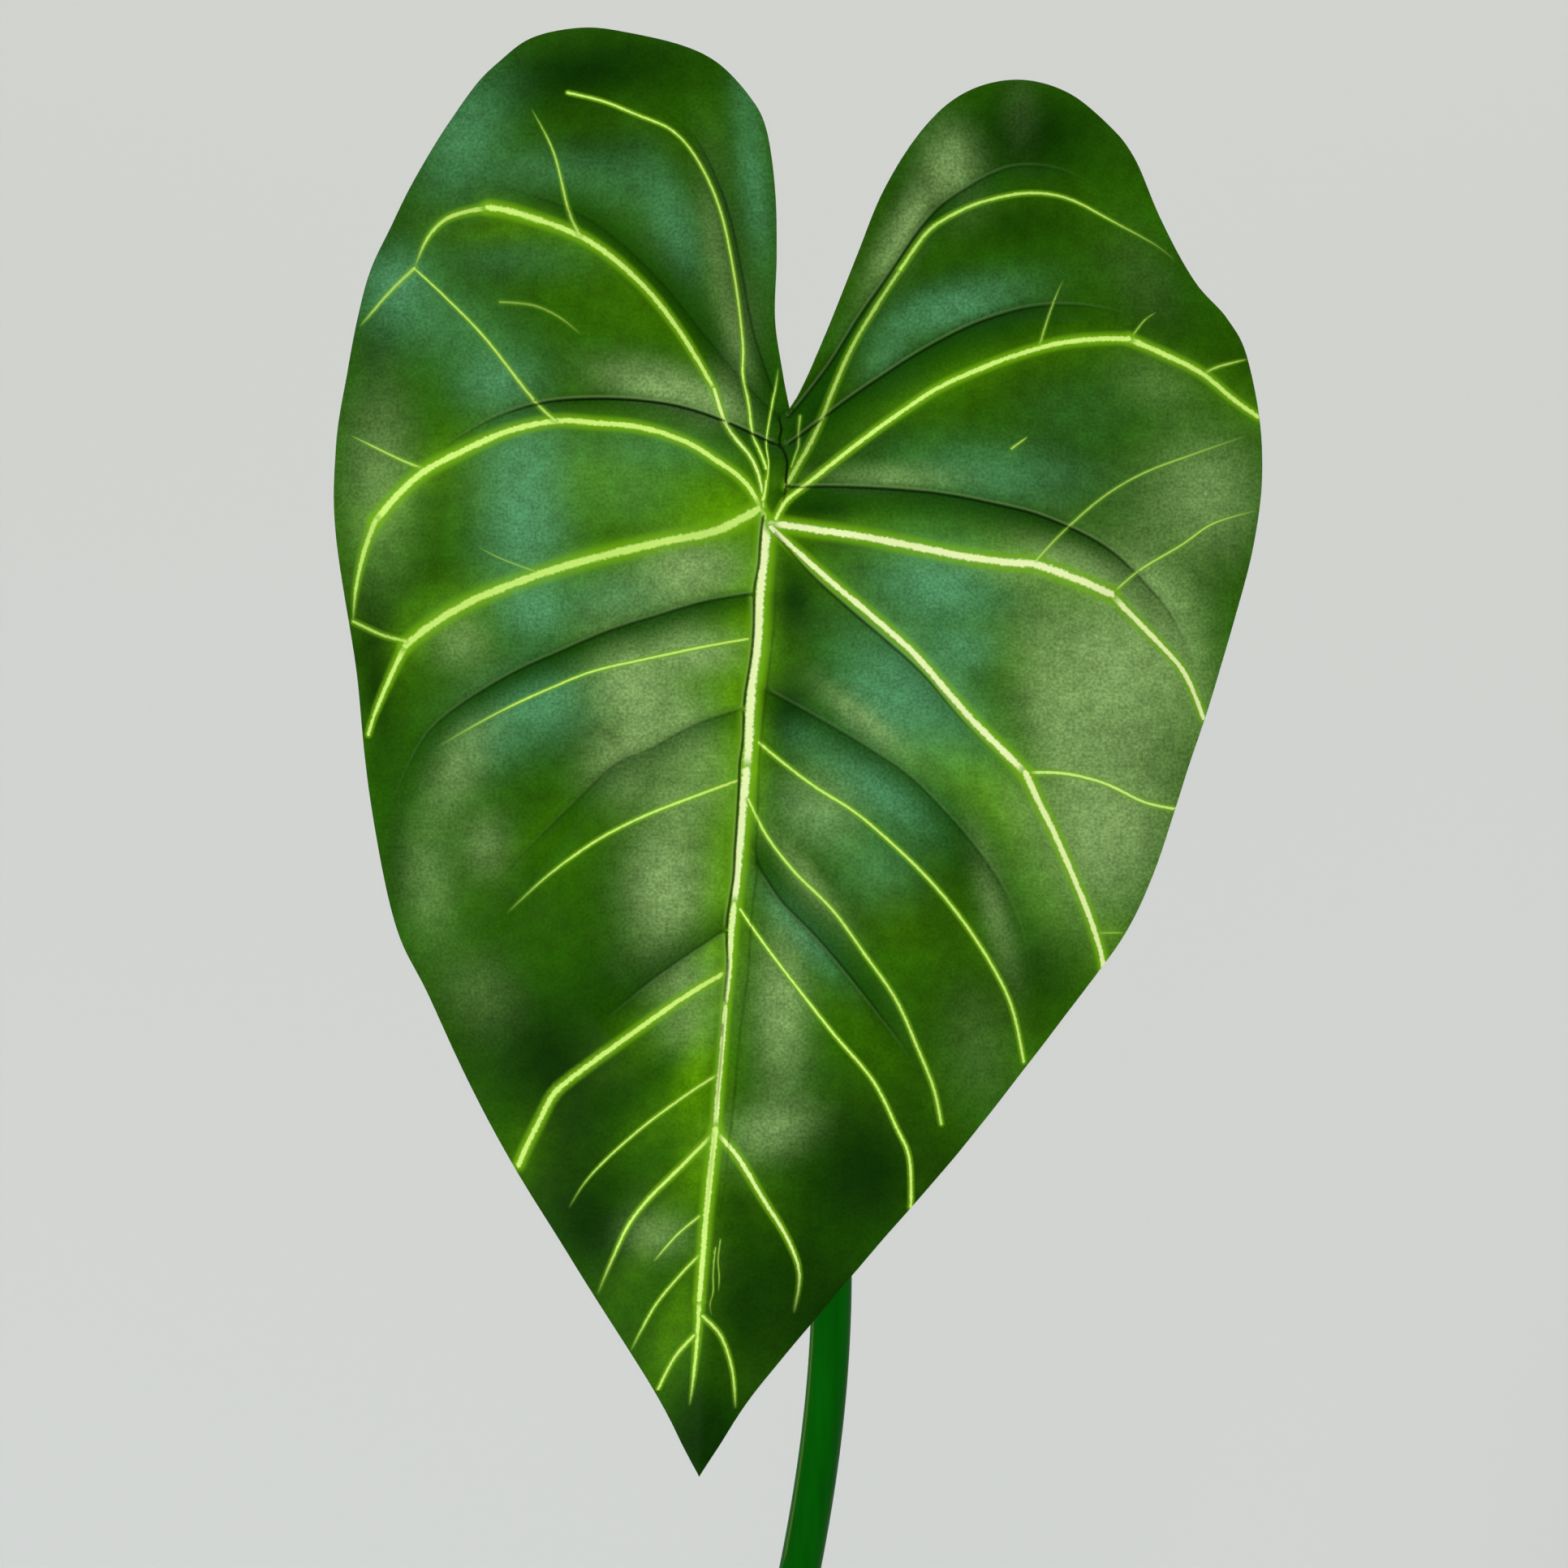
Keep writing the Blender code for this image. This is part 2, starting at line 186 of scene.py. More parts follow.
# %% [markdown]
# ## The blade: its pressed creases
# The mould presses grooves that look like sunken veins, and the sheet between them stays a little proud. Each
# crease is drawn from the junction or the midrib outwards and runs out at its end. One bank of each lies in shade,
# up to a sharp edge at the bottom of the groove. The lamps alone give too little of that shade on grooves this
# shallow, so the rest of it is painted into the colour, and stays there when the light changes. How sharp the edge
# is, which bank is dark and how dark it is are given with each crease.

# %% Draw the creases
CREASES = [
    # sharpness of the line, shaded side (-1 the right of its run, 1 the left, 0 both), depth of shade, points
    (0.9, 1, 0.75, [(3, 20), (-9, 25.6), (-20, 29.4), (-31, 31.2), (-44, 31.8), (-56, 30.6), (-68, 26.6),
                    (-81, 19)]),
    (0.25, 0, 0.9, [(2, 28), (-7, 37), (-17, 49), (-27, 61), (-37, 70.4), (-47, 77.4), (-58, 82), (-70, 84),
                    (-82, 82)]),
    (0.45, 0, 0.85, [(1, 34), (-4, 49), (-7.2, 66), (-10.6, 80), (-16.6, 94), (-23.6, 101), (-30, 105)]),
    (0.5, 1, 1.0, [(-4.6, -16.4), (-16, -18.4), (-28, -22), (-39, -25.4), (-50, -30), (-62, -35.4),
                   (-74, -42.4), (-83, -49.4), (-88, -57), (-94, -70)]),
    (0.2, 1, 0.75, [(-6, -44.6), (-18, -48.6), (-30, -55), (-38, -58.5), (-50, -70), (-60, -80), (-70, -90)]),
    (0.35, -1, 0.85, [(-11, -99), (-21, -105.6), (-30, -112), (-41, -121)]),
    (0.6, -1, 1.0, [(5, 28), (14.4, 40), (22, 52), (30, 63.4), (38, 75), (45.4, 82), (58, 88.6), (70, 88.4),
                    (80, 84)]),
    (0.7, -1, 1.0, [(5, 21), (18, 31), (30, 39), (42, 46), (54, 51.4), (66, 54.6), (78, 54.4), (89, 52)]),
    (0.75, -1, 0.9, [(5, 10), (20, 10), (40, 8.6), (56, 5.6), (68, 2.4), (82, -4.4), (92, -13), (100, -23),
                     (106, -38)]),
    (0.6, -1, 0.35, [(1, -1), (10, -11.4), (19, -19.6), (29, -28.2), (38, -36.4), (46, -45.8), (54, -54.4),
                     (62, -62)]),
    (0.3, -1, 0.6, [(-1, -40), (10, -46), (22, -53), (34, -61), (43, -70), (50, -78), (57, -88), (62, -100),
                    (64, -112)]),
    (0.45, 1, 0.85, [(-3, -82), (2.4, -91), (12, -101), (22, -113), (32, -126), (36, -132)]),
]
# The midrib stands up as a low rib between two sharp edges, and the sheet's deepest crease is its left edge.
RIB_LEFT = [(-1.5, 3), (-2.2, -3), (-2.6, -9), (-3.7, -15), (-3.8, -24), (-4.6, -33), (-5.8, -40), (-6.3, -46),
            (-6.4, -52), (-7.2, -57), (-7.5, -64), (-8, -73), (-8.5, -80), (-8.9, -87), (-10.2, -95), (-10.6, -101),
            (-10.2, -107), (-11.2, -118), (-12.1, -132), (-13.4, -145), (-14.4, -158), (-15.8, -174)]
RIB_RIGHT = [(1.7, -3), (1.7, -14), (1.2, -24), (-0.2, -36), (-1.2, -44), (-2, -52), (-2.6, -60), (-2.8, -68),
             (-3.2, -78), (-3.2, -86), (-4.4, -96), (-5.1, -108), (-6.2, -117), (-7.4, -126), (-8.2, -136),
             (-9.8, -150), (-11, -162), (-13, -174)]
# The cut between the lobes goes on a little below the notch, as a closed seam.
SEAM = [NOTCH, (3.4, 29.4), (2.4, 27.6), (3, 24.5), (2.4, 21.4), (3.6, 19), (4.4, 16), (4.1, 12.5), (4, 9),
        (3.2, 6)]
RIB_LEFT_MARKS = (0.85, 1, 0.0)
RIB_RIGHT_SHARPNESS = 0.35
SEAM_SHARPNESS = 1.0
crease_marks = [tuple(marks) for *marks, _ in CREASES] + [RIB_LEFT_MARKS]
crease_lines = [smooth_line(points, 2.0) for *_, points in CREASES] + [smooth_line(RIB_LEFT, 2.0)]
edge_lines = [smooth_line(RIB_RIGHT, 2.0), smooth_line(SEAM, 0.8)]
edge_sharpness = (RIB_RIGHT_SHARPNESS, SEAM_SHARPNESS)
print(len(crease_lines), "creases and", len(edge_lines), "edges")

# %% [markdown]
# ## The blade: its printed veins
# The veins are printed on the sheet before it is pressed, and the print and the mould never quite meet: most veins
# lie beside their crease. Each vein has its full width at its start and its end, in millimetres, and its strength
# of print, from 1 for a solid vein to 0.2 for a faint one.

# %% Draw the veins
VEINS = [
    # start width, end width, strength, points from the root outwards
    (2.2, 2.3, 1.0, [(-0.8, 1.4), (-1, -5), (-1.7, -11), (-2.2, -16), (-2.6, -22), (-3.1, -30), (-4.2, -39),
                     (-4.8, -46), (-5, -52), (-5.6, -60)]),
    (2.3, 1.7, 1.0, [(-5.6, -60), (-6.4, -68), (-7.2, -77), (-7.8, -85), (-8.7, -93)]),
    (1.7, 1.2, 1.0, [(-8.7, -93), (-9.4, -100), (-9.8, -108), (-10.8, -118)]),
    (1.2, 1.4, 1.0, [(-10.8, -118), (-11.8, -130), (-12.8, -141), (-13.2, -148)]),
    (1.7, 1.3, 1.0, [(-13.2, -148), (-14.6, -160), (-15.6, -170), (-16.4, -180), (-17.2, -190)]),
    (1.3, 0.4, 0.95, [(-17.2, -190), (-17.8, -200), (-18.8, -210), (-19.8, -217)]),
    # left lobe and left side, from the notch down
    (0.3, 0.5, 0.9, [(-0.5, 12), (-0.2, 16), (-0.8, 21), (0, 27), (0.8, 31.6), (1.6, 35.6), (2.2, 40)]),
    (0.6, 0.6, 1.0, [(-1.4, 7), (-0.7, 12), (-0.8, 14.6), (-2.4, 19), (-4.2, 23.4), (-5.2, 31), (-6.6, 38),
                     (-6.6, 46), (-8.6, 62), (-12, 78), (-17.2, 90), (-23.6, 97.6), (-32.6, 101.4),
                     (-40.6, 104.6), (-49.6, 106.8)]),
    (0.6, 1.0, 1.0, [(-1.5, 5.2), (-1.8, 9), (-3, 14), (-5, 18), (-7, 20.4), (-10.8, 25.8), (-13.6, 34)]),
    (1.0, 1.8, 1.0, [(-13.6, 34), (-17.6, 41), (-23.6, 50.4), (-31.6, 60), (-41.6, 68.4), (-51.6, 73.8),
                     (-63.6, 77.8), (-69.2, 78.8)]),
    (1.4, 0.5, 0.7, [(-69.2, 78.8), (-78.6, 76.6), (-84.2, 71.6), (-87.6, 64)]),
    (1.0, 0.5, 0.5, [(-87.6, 64), (-94.6, 57.6), (-101.6, 50)]),
    (0.8, 0.3, 0.6, [(-46.6, 71.6), (-49.6, 78.4), (-53, 92), (-58.6, 103)]),
    (0.45, 0.8, 0.7, [(-87.6, 64), (-79.6, 56.4), (-69.6, 46), (-58.6, 32), (-52.6, 26)]),
    (0.7, 0.5, 0.25, [(-66, 55), (-58, 54.2), (-51.6, 51.4), (-46, 47)]),
    (1.2, 1.9, 1.0, [(-1, 2.2), (-2.4, 5.4), (-4.8, 9.6), (-8, 13), (-13, 16.4), (-20.6, 21), (-31.6, 24.4),
                     (-43.6, 25.6), (-52.6, 26), (-63.6, 23.6), (-74.6, 19), (-84.6, 14), (-91.6, 8),
                     (-97.2, 1.6)]),
    (1.6, 0.5, 0.75, [(-97.2, 1.6), (-100, -6), (-102.2, -15), (-103, -23)]),
    (0.8, 0.3, 0.6, [(-85, 14.4), (-90.6, 16.6), (-99.6, 21), (-103.6, 23)]),
    (0.8, 0.8, 0.6, [(-103, -23), (-95.6, -26.4), (-89.6, -28)]),
    (2.2, 1.9, 0.85, [(-3, 4.4), (-6, 2.6), (-10, 0.6), (-15.6, -1.6), (-25.6, -3.6), (-37.6, -6.4),
                      (-49.6, -9.6), (-61.6, -13.6), (-73.6, -18.4), (-83.6, -24.4), (-89.6, -29)]),
    (1.5, 0.8, 0.9, [(-89.6, -29), (-93.6, -37), (-97.6, -46), (-99.2, -51)]),
    (0.5, 0.3, 0.25, [(-57.6, -11), (-65.6, -8), (-71.6, -5)]),
    (0.7, 0.5, 0.8, [(-5.2, -27.4), (-15.6, -29.4), (-29.6, -32.4), (-43.6, -35.6), (-54.6, -40),
                     (-64.6, -44.6), (-74.6, -50), (-81.6, -54)]),
    (0.8, 0.5, 0.85, [(-8, -62.4), (-16.6, -65.6), (-29.6, -70.6), (-40.6, -76), (-49.6, -82), (-56.6, -87.6),
                      (-64.6, -95)]),
    (1.3, 1.4, 0.95, [(-11.6, -110), (-21.6, -116), (-33.6, -124.4), (-44.6, -132.4), (-52.6, -139),
                      (-56.6, -146), (-60.6, -154), (-62, -157.4)]),
    (0.7, 0.4, 0.8, [(-13.2, -135), (-20.6, -139.6), (-30.6, -147), (-39.6, -155), (-45.6, -161.6),
                     (-49.6, -168)]),
    (1.0, 0.55, 1.0, [(-14, -149.4), (-21.6, -157), (-29.6, -165), (-34.6, -171.6), (-38.6, -180),
                      (-42.6, -189.6)]),
    (0.6, 0.4, 0.7, [(-17.2, -169.4), (-22.6, -174), (-28.6, -181)]),
    (0.6, 0.5, 0.8, [(-17.2, -179), (-21.6, -183.6), (-27.6, -191), (-31.6, -198), (-34.4, -203.6)]),
    (0.8, 0.6, 0.85, [(-18.6, -199), (-23.6, -205), (-27.6, -213)]),
    # right lobe and right side, from the notch down
    (0.4, 0.6, 0.35, [(5.4, 15), (6.4, 18), (7.2, 20.6), (7.2, 24), (7.6, 28)]),
    (1.1, 0.9, 0.55, [(4, 10), (6.8, 15), (9.8, 20.4), (12.8, 27), (16.4, 36), (20.4, 45), (26.4, 55),
                      (32.4, 64)]),
    (1.0, 0.4, 0.75, [(32.4, 64), (38.4, 72.6), (43.4, 76.4), (51.4, 80), (60.4, 81.8), (68.4, 81.8),
                      (75.4, 80), (85.4, 75), (95.4, 70), (100.4, 66.4)]),
    (1.0, 1.4, 1.0, [(1.6, 2.2), (3.4, 5.6), (5, 7.4), (9, 10.6), (14, 14.6), (21.4, 20.4), (31.4, 27.6),
                     (41.4, 34), (51.4, 38.6), (61.4, 42.4), (71.4, 45.2), (82.4, 46.2), (88.4, 46.2)]),
    (1.5, 1.1, 0.95, [(88.4, 46.2), (96.4, 42.8), (106.4, 38), (114.4, 32), (121, 27.6)]),
    (0.7, 0.4, 0.6, [(107.4, 38), (110.4, 39.6), (118.4, 42)]),
    (0.6, 0.3, 0.4, [(66.4, 44.5), (68.4, 51), (71, 58), (72.4, 61)]),
    (0.5, 0.3, 0.4, [(88.8, 46.4), (92.4, 51), (95.4, 53)]),
    (0.5, 0.3, 0.6, [(59.4, 19), (63.4, 22)]),
    (1.8, 2.1, 1.0, [(0.4, 1), (10.4, -0.4), (22.4, -2.4), (34.4, -4.6), (46.4, -7), (58.4, -8.8), (65.4, -9.4),
                     (75.4, -13), (84, -16.6)]),
    (1.6, 1.1, 1.0, [(84, -16.6), (90.4, -23), (96.4, -29), (102.4, -36), (107.4, -47)]),
    (0.6, 0.4, 0.45, [(65.4, -8.4), (72.4, -1), (82.4, 7.6), (92.4, 13.4), (104.4, 18), (118.4, 23)]),
    (0.6, 0.4, 0.6, [(84, -16.6), (91.4, -10.4), (101.4, -4.4), (109.4, 1), (120.4, 4.4)]),
    (1.3, 1.8, 1.0, [(0.4, 0), (7.4, -6.4), (15.4, -13.6), (25.4, -22), (35.4, -31), (43.4, -40), (51.4, -49),
                     (59.4, -57), (62.8, -60.4)]),
    (1.7, 1.3, 1.0, [(62.8, -60.4), (66.4, -68), (70.4, -76), (74.8, -86), (79, -96), (82, -105), (82.8, -109)]),
    (0.8, 0.7, 0.85, [(62.8, -60.4), (72.4, -60.6), (82.4, -63), (92.4, -67.6), (100.4, -69.4)]),
    (0.6, 0.3, 0.3, [(81.4, -100), (88, -100)]),
    (0.7, 0.7, 0.85, [(-2.6, -53), (3.4, -58), (11.4, -64), (21.4, -70.4), (31.4, -79), (40.4, -88),
                      (48.4, -98), (55.4, -109), (60, -119), (63, -132)]),
    (0.7, 0.7, 0.8, [(-5.2, -67), (-0.6, -76), (6.4, -85), (15.4, -94), (23.4, -105), (31, -116), (36.4, -128),
                     (40.4, -138), (42.4, -147)]),
    (0.6, 0.7, 1.0, [(-7.2, -94), (-1.6, -102), (6.4, -112.6), (15.4, -124), (25.4, -136), (31.4, -148),
                     (34.4, -155), (35, -165), (34.8, -168)]),
    (1.3, 0.55, 1.0, [(-12.8, -149), (-7.6, -155), (-1.6, -165), (4.4, -175), (7.4, -184), (6, -194)]),
    (0.8, 0.5, 0.85, [(-16.4, -194), (-12, -199), (-9.2, -208), (-8.4, -218)]),
    # two scratches in the coat, which show as pale hairs
    (0.3, 0.3, 0.35, [(-12, -175), (-12.6, -180), (-12.3, -184), (-12.5, -188)]),
    (0.3, 0.3, 0.4, [(-13.2, -177), (-13.8, -183), (-13.8, -188), (-14.6, -191), (-14.2, -194)]),
]
vein_lines = [smooth_line(points, 1.5) for start, end, strength, points in VEINS]
print(len(VEINS), "veins,", round(sum(np.linalg.norm(np.diff(v, axis=0), axis=1).sum() for v in vein_lines)), "mm")

# %% [markdown]
# ## The blade: where its points lie
# An even net of points would blur both the creases and the edges of the veins. So the sheet gets rows of points
# along every vein and every crease, an even net in between, and a Delaunay triangulation joins them inside the
# outline. A value that is linear on each side of a vein, such as the distance to it, then stays exact.

# %% Scatter the points and join them
def rows_beside(line, offsets, spacing):
    """Points along a line and along copies of it moved sideways by the offsets."""
    fine = smooth_line(line[::3] if len(line) > 6 else line, spacing)
    along = np.gradient(fine, axis=0)
    side = np.stack([-along[:, 1], along[:, 0]], axis=1) / np.linalg.norm(along, axis=1)[:, None]
    return np.vstack([fine + side * offset for offset in offsets])


def nearest_on_line(points, line):
    """For each point: the distance to a line, the share of its length there, and the side (+1 left, -1 right)."""
    best = np.full(len(points), 1e9)
    share = np.zeros(len(points))
    side = np.ones(len(points))
    for i, (a, b) in enumerate(zip(line, line[1:])):
        run = b - a
        offset = points - a
        t = np.clip(offset @ run / (run @ run), 0, 1)
        distance = np.linalg.norm(offset - t[:, None] * run, axis=1)
        closer = distance < best
        best[closer] = distance[closer]
        share[closer] = (i + t[closer]) / (len(line) - 1)
        side[closer] = np.sign(run[0] * offset[closer, 1] - run[1] * offset[closer, 0])
    return best, share, side


def thinned(kept, candidates, spacing):
    """The candidates that stay at least this far from the kept points and from each other."""
    cells = {}
    for x, y in kept:
        cells.setdefault((int(x // spacing), int(y // spacing)), []).append((x, y))
    chosen = []
    for x, y in candidates:
        column, row = int(x // spacing), int(y // spacing)
        near = [p for i in (-1, 0, 1) for j in (-1, 0, 1) for p in cells.get((column + i, row + j), ())]
        if all((x - p[0])**2 + (y - p[1])**2 >= spacing**2 for p in near):
            cells.setdefault((column, row), []).append((x, y))
            chosen.append((x, y))
    return chosen


NET_SPACING = 1.45
vein_rows = np.vstack([smooth_line(points, 1.0) for start, end, strength, points in VEINS])
crease_rows = np.vstack([rows_beside(line, (0, 0.9, -0.9), 1.1) for line in crease_lines + edge_lines])
grid = [((column + row % 2 / 2) * NET_SPACING, row * NET_SPACING * 0.87)
        for row in range(-280, 160) for column in range(-120, 120)]
chosen = list(map(tuple, outline))
chosen += thinned(chosen, map(tuple, vein_rows), 0.45)
chosen += thinned(chosen, map(tuple, crease_rows), 0.5)
chosen += thinned(chosen, grid, NET_SPACING * 0.55)
flat_points, _, flat_faces, _, _, _ = delaunay_2d_cdt([Vector(p) for p in chosen], [], [list(range(len(outline)))],
                                                      1, 1e-6)
used = sorted({i for face in flat_faces for i in face})
renumber = {old: new for new, old in enumerate(used)}
flat = np.array([flat_points[i] for i in used])
triangles = [[renumber[i] for i in face] for face in flat_faces]
print(len(flat), "points and", len(triangles), "triangles")

# %% [markdown]
# ## The blade: its pressed height
# The height of the sheet is worked out at every point: a groove falls away on both sides of each crease, the edges
# bend back a little, and a flat round place is left at the junction for the socket. On top of that come the marks
# of pressing and handling: a sharp line at the bottom of each groove, short folds, shallow dents and a slow
# unevenness. Heights are in millimetres in front of the flat place. The same walk along the creases also gives how
# dark the painted shade is at each point, and what the material needs to paint a dark line of shade at the bottom
# of a groove and a pale highlight on its lit bank.

# %% Work out the height of the sheet
CREASE_DEPTH = 3.0
GROOVE_REACH = 13.0
EDGE_DROOP = 6.0
DROOP_REACH = 45.0
PAD_RADIUS = 11.5
SLIT_DEPTH = 0.4
SHADE_REACH = 8.5       # how far from a crease its shaded bank is darker
FULL_SHADE = 1.5        # up to here at its full depth
FAR_SHADE_REACH = 1.6   # the same on the lit bank
LIT_START = 0.9         # where the lit bank is fully lit
FAR_AWAY = 99.0
RIB_HEIGHT = 0.9
RIB_BOTTOM = -172
FOLDS = [
    # height, half width, points along the fold
    (1.6, 2.2, [(35, 88), (38, 83), (40, 78)]),
    (0.9, 1.6, [(-34, -112), (-38, -105), (-43, -96)]),
    (1.3, 2.4, [(-38, -47), (-41, -52), (-36, -58)]),
    (0.9, 2.0, [(9, -25), (16, -23), (22, -26)]),
    (0.7, 1.6, [(-33, -28), (-41, -30), (-50, -32)]),
    (-1.1, 2.2, [(52, -38), (60, -36), (64, -41)]),
    (-0.9, 1.4, [(26, -51), (31, -55)]),
    (0.9, 2.0, [(62, 50), (70, 50), (80, 47)]),
    (-0.9, 1.8, [(-46, -70), (-56, -84), (-70, -98), (-82, -104)]),
    (0.7, 1.6, [(8, -137), (14, -142), (22, -141)]),
]
# x, y, radius and height of each dent or bulge
DENTS = [(28, -53, 5, -0.8), (43, -31, 6, -1.2), (60, -40, 6, 1.0), (66, -56, 5, -0.8), (-35, -166, 8, 1.2),
         (-70, 50, 10, 1.0), (-64, 0, 14, 1.5), (44, -26, 12, 1.0), (70, 38, 10, -0.8), (-30, -85, 12, 1.2),
         (6, -150, 9, 1.0), (92, -40, 12, 1.0), (-66, 100, 12, 1.2), (62, 98, 9, -0.8), (-60, -125, 12, -0.8)]
# height, turns across and along the leaf in radians a millimetre, start
WAVES = [(0.5, 0.11, 0.06, 0.4), (0.35, -0.07, 0.14, 2.1), (0.25, 0.19, -0.10, 4.0), (0.15, 0.24, 0.27, 1.1)]


def run_out(share, part):
    """1 along a line, falling to 0 over this part of it at its end."""
    return np.clip((1 - share) / part, 0, 1)


def rib_rise(points):
    """The midrib's round back between its two edges, run out at its tip."""
    to_left, share, side_left = nearest_on_line(points, crease_lines[-1])
    to_right, _, side_right = nearest_on_line(points, edge_lines[0])
    across = to_left / np.maximum(to_left + to_right, 1e-6)
    inside = (side_left < 0) & (side_right > 0) & (points[:, 1] < 2) & (points[:, 1] > RIB_BOTTOM)
    return inside * RIB_HEIGHT * (1 - (2 * across - 1)**4) * run_out(share, 0.35)


def bank_shade(distance, side, shaded_side):
    """How dark a crease's shade is: full on its shaded bank, near the crease, and quickly gone on the other."""
    wide = np.clip((SHADE_REACH - distance) / (SHADE_REACH - FULL_SHADE), 0, 1)
    narrow = np.clip(1 - distance / FAR_SHADE_REACH, 0, 1)
    if shaded_side == 0:
        return wide**1.5
    return np.where(side == shaded_side, wide, narrow)


def sheet_height(points):
    """(height, shade, crease marks): the marks are distance to the nearest sharp line, its sharpness, lit side."""
    groove = np.zeros(len(points))
    shade = np.zeros(len(points))
    marks = np.tile([FAR_AWAY, 0.0, 0.0], (len(points), 1))
    for line, (sharpness, shaded_side, depth) in zip(crease_lines, crease_marks):
        distance, share, side = nearest_on_line(points, line)
        groove = np.maximum(groove, run_out(share, 0.25) * np.clip(1 - distance / GROOVE_REACH, 0, 1)**2)
        shade = np.maximum(shade, depth * run_out(share, 0.35) * bank_shade(distance, side, shaded_side))
        nearest = distance < marks[:, 0]
        lit = np.clip(-side * shaded_side * distance / LIT_START, 0, 1)
        marks[nearest] = np.column_stack([distance, sharpness * run_out(share, 0.4), lit])[nearest]
    for line, sharpness in zip(edge_lines, edge_sharpness):
        distance, share, _ = nearest_on_line(points, line)
        nearest = distance < marks[:, 0]
        strength = sharpness * run_out(share, 0.15) * run_out(1 - share, 0.2)
        marks[nearest] = np.column_stack([distance, strength, np.zeros(len(points))])[nearest]
    edge, _, _ = nearest_on_line(points, np.vstack([outline[::3], outline[:1]]))
    height = CREASE_DEPTH * (1 - groove) - EDGE_DROOP * np.clip(1 - edge / DROOP_REACH, 0, 1)**2
    for rise, width, fold in FOLDS:
        distance, share, _ = nearest_on_line(points, smooth_line(fold, 2.0))
        height += rise * np.exp(-(distance / width)**2) * run_out(share, 0.3)
    for x, y, radius, rise in DENTS:
        height += rise * np.exp(-((points - (x, y))**2).sum(1) / radius**2)
    for rise, across, along, start in WAVES:
        height += rise * np.sin(points[:, 0] * across + points[:, 1] * along + start)
    from_junction = np.linalg.norm(points, axis=1)
    on_pad = np.clip(from_junction / PAD_RADIUS - 1, 0, 1)
    cut = SLIT_DEPTH * marks[:, 1] * np.exp(-marks[:, 0] / 0.5) * np.clip(from_junction / 6, 0, 1)
    return height * on_pad + rib_rise(points) * np.clip(from_junction / 8, 0, 1) - cut, shade, marks


height, shade, crease_values = sheet_height(flat)
print("height from", height.min().round(2), "to", height.max().round(2), "mm")

# %% [markdown]
# ## The blade: what the print needs to know
# Each point gets a few values that the material reads. The veins are shared out over a few layers, so that veins
# that meet or run close are never in one layer. A layer holds three values: the distance to its nearest vein over
# that vein's half width, so the print is solid below 1, the vein's strength, and how much its ink is cream and not
# lime. "glow" is how much paler the green is near a strong vein.

# %% Share the veins out over layers and measure them at every point
LAYERS = 5
# How cream the ink of a vein is, by its number in the list: the midrib and the strongest veins of the right side.
CREAM_VEINS = {0: 1.0, 1: 1.0, 2: 0.6, 3: 0.5, 4: 0.1, 8: 0.4, 39: 1.0, 40: 0.9, 43: 1.0, 44: 0.8, 45: 0.3,
               50: 0.5}
GLOW_REACH = 3.8
WIDEST_VEIN = 2.2
FADING_WIDTH = 0.6  # a vein that ends narrower than this also fades out


def closeness(line, other):
    """How much of a line runs within a few millimetres of another one."""
    distance, _, _ = nearest_on_line(line[::2], other)
    return float(np.exp(-distance / 3).sum())


def vein_layers():
    layers = [[] for _ in range(LAYERS)]
    for number, line in enumerate(vein_lines):
        crowding = [sum(closeness(line, vein_lines[k]) for k in layer) for layer in layers]
        layers[int(np.argmin(crowding))].append(number)
    return layers


def vein_values(points, numbers):
    """(distance over half width, strength, cream) of the nearest of these veins, for each point, and the glow."""
    values = np.tile([FAR_AWAY, 0.0, 0.0], (len(points), 1))
    glow = np.zeros(len(points))
    for number in numbers:
        start, end, strength, _ = VEINS[number]
        distance, share, _ = nearest_on_line(points, vein_lines[number])
        width = start + (end - start) * share
        strengths = strength * (run_out(share, 0.3) if end < FADING_WIDTH else np.ones(len(points)))
        here = distance / (width / 2)
        cream = np.full(len(points), CREAM_VEINS.get(number, 0.0))
        nearest = here < values[:, 0]
        values[nearest] = np.column_stack([here, strengths, cream])[nearest]
        ink_laid = strengths * np.clip(width / WIDEST_VEIN, 0, 1)**1.5
        glow = np.maximum(glow, ink_laid * np.exp(-distance / GLOW_REACH))
    return values, glow


measured = [vein_values(flat, numbers) for numbers in vein_layers()]
vein_attributes = [values for values, _ in measured]
glow = np.max([glow_here for _, glow_here in measured], axis=0)
print("points inside a vein:", int(sum((values[:, 0] < 1).sum() for values in vein_attributes)))
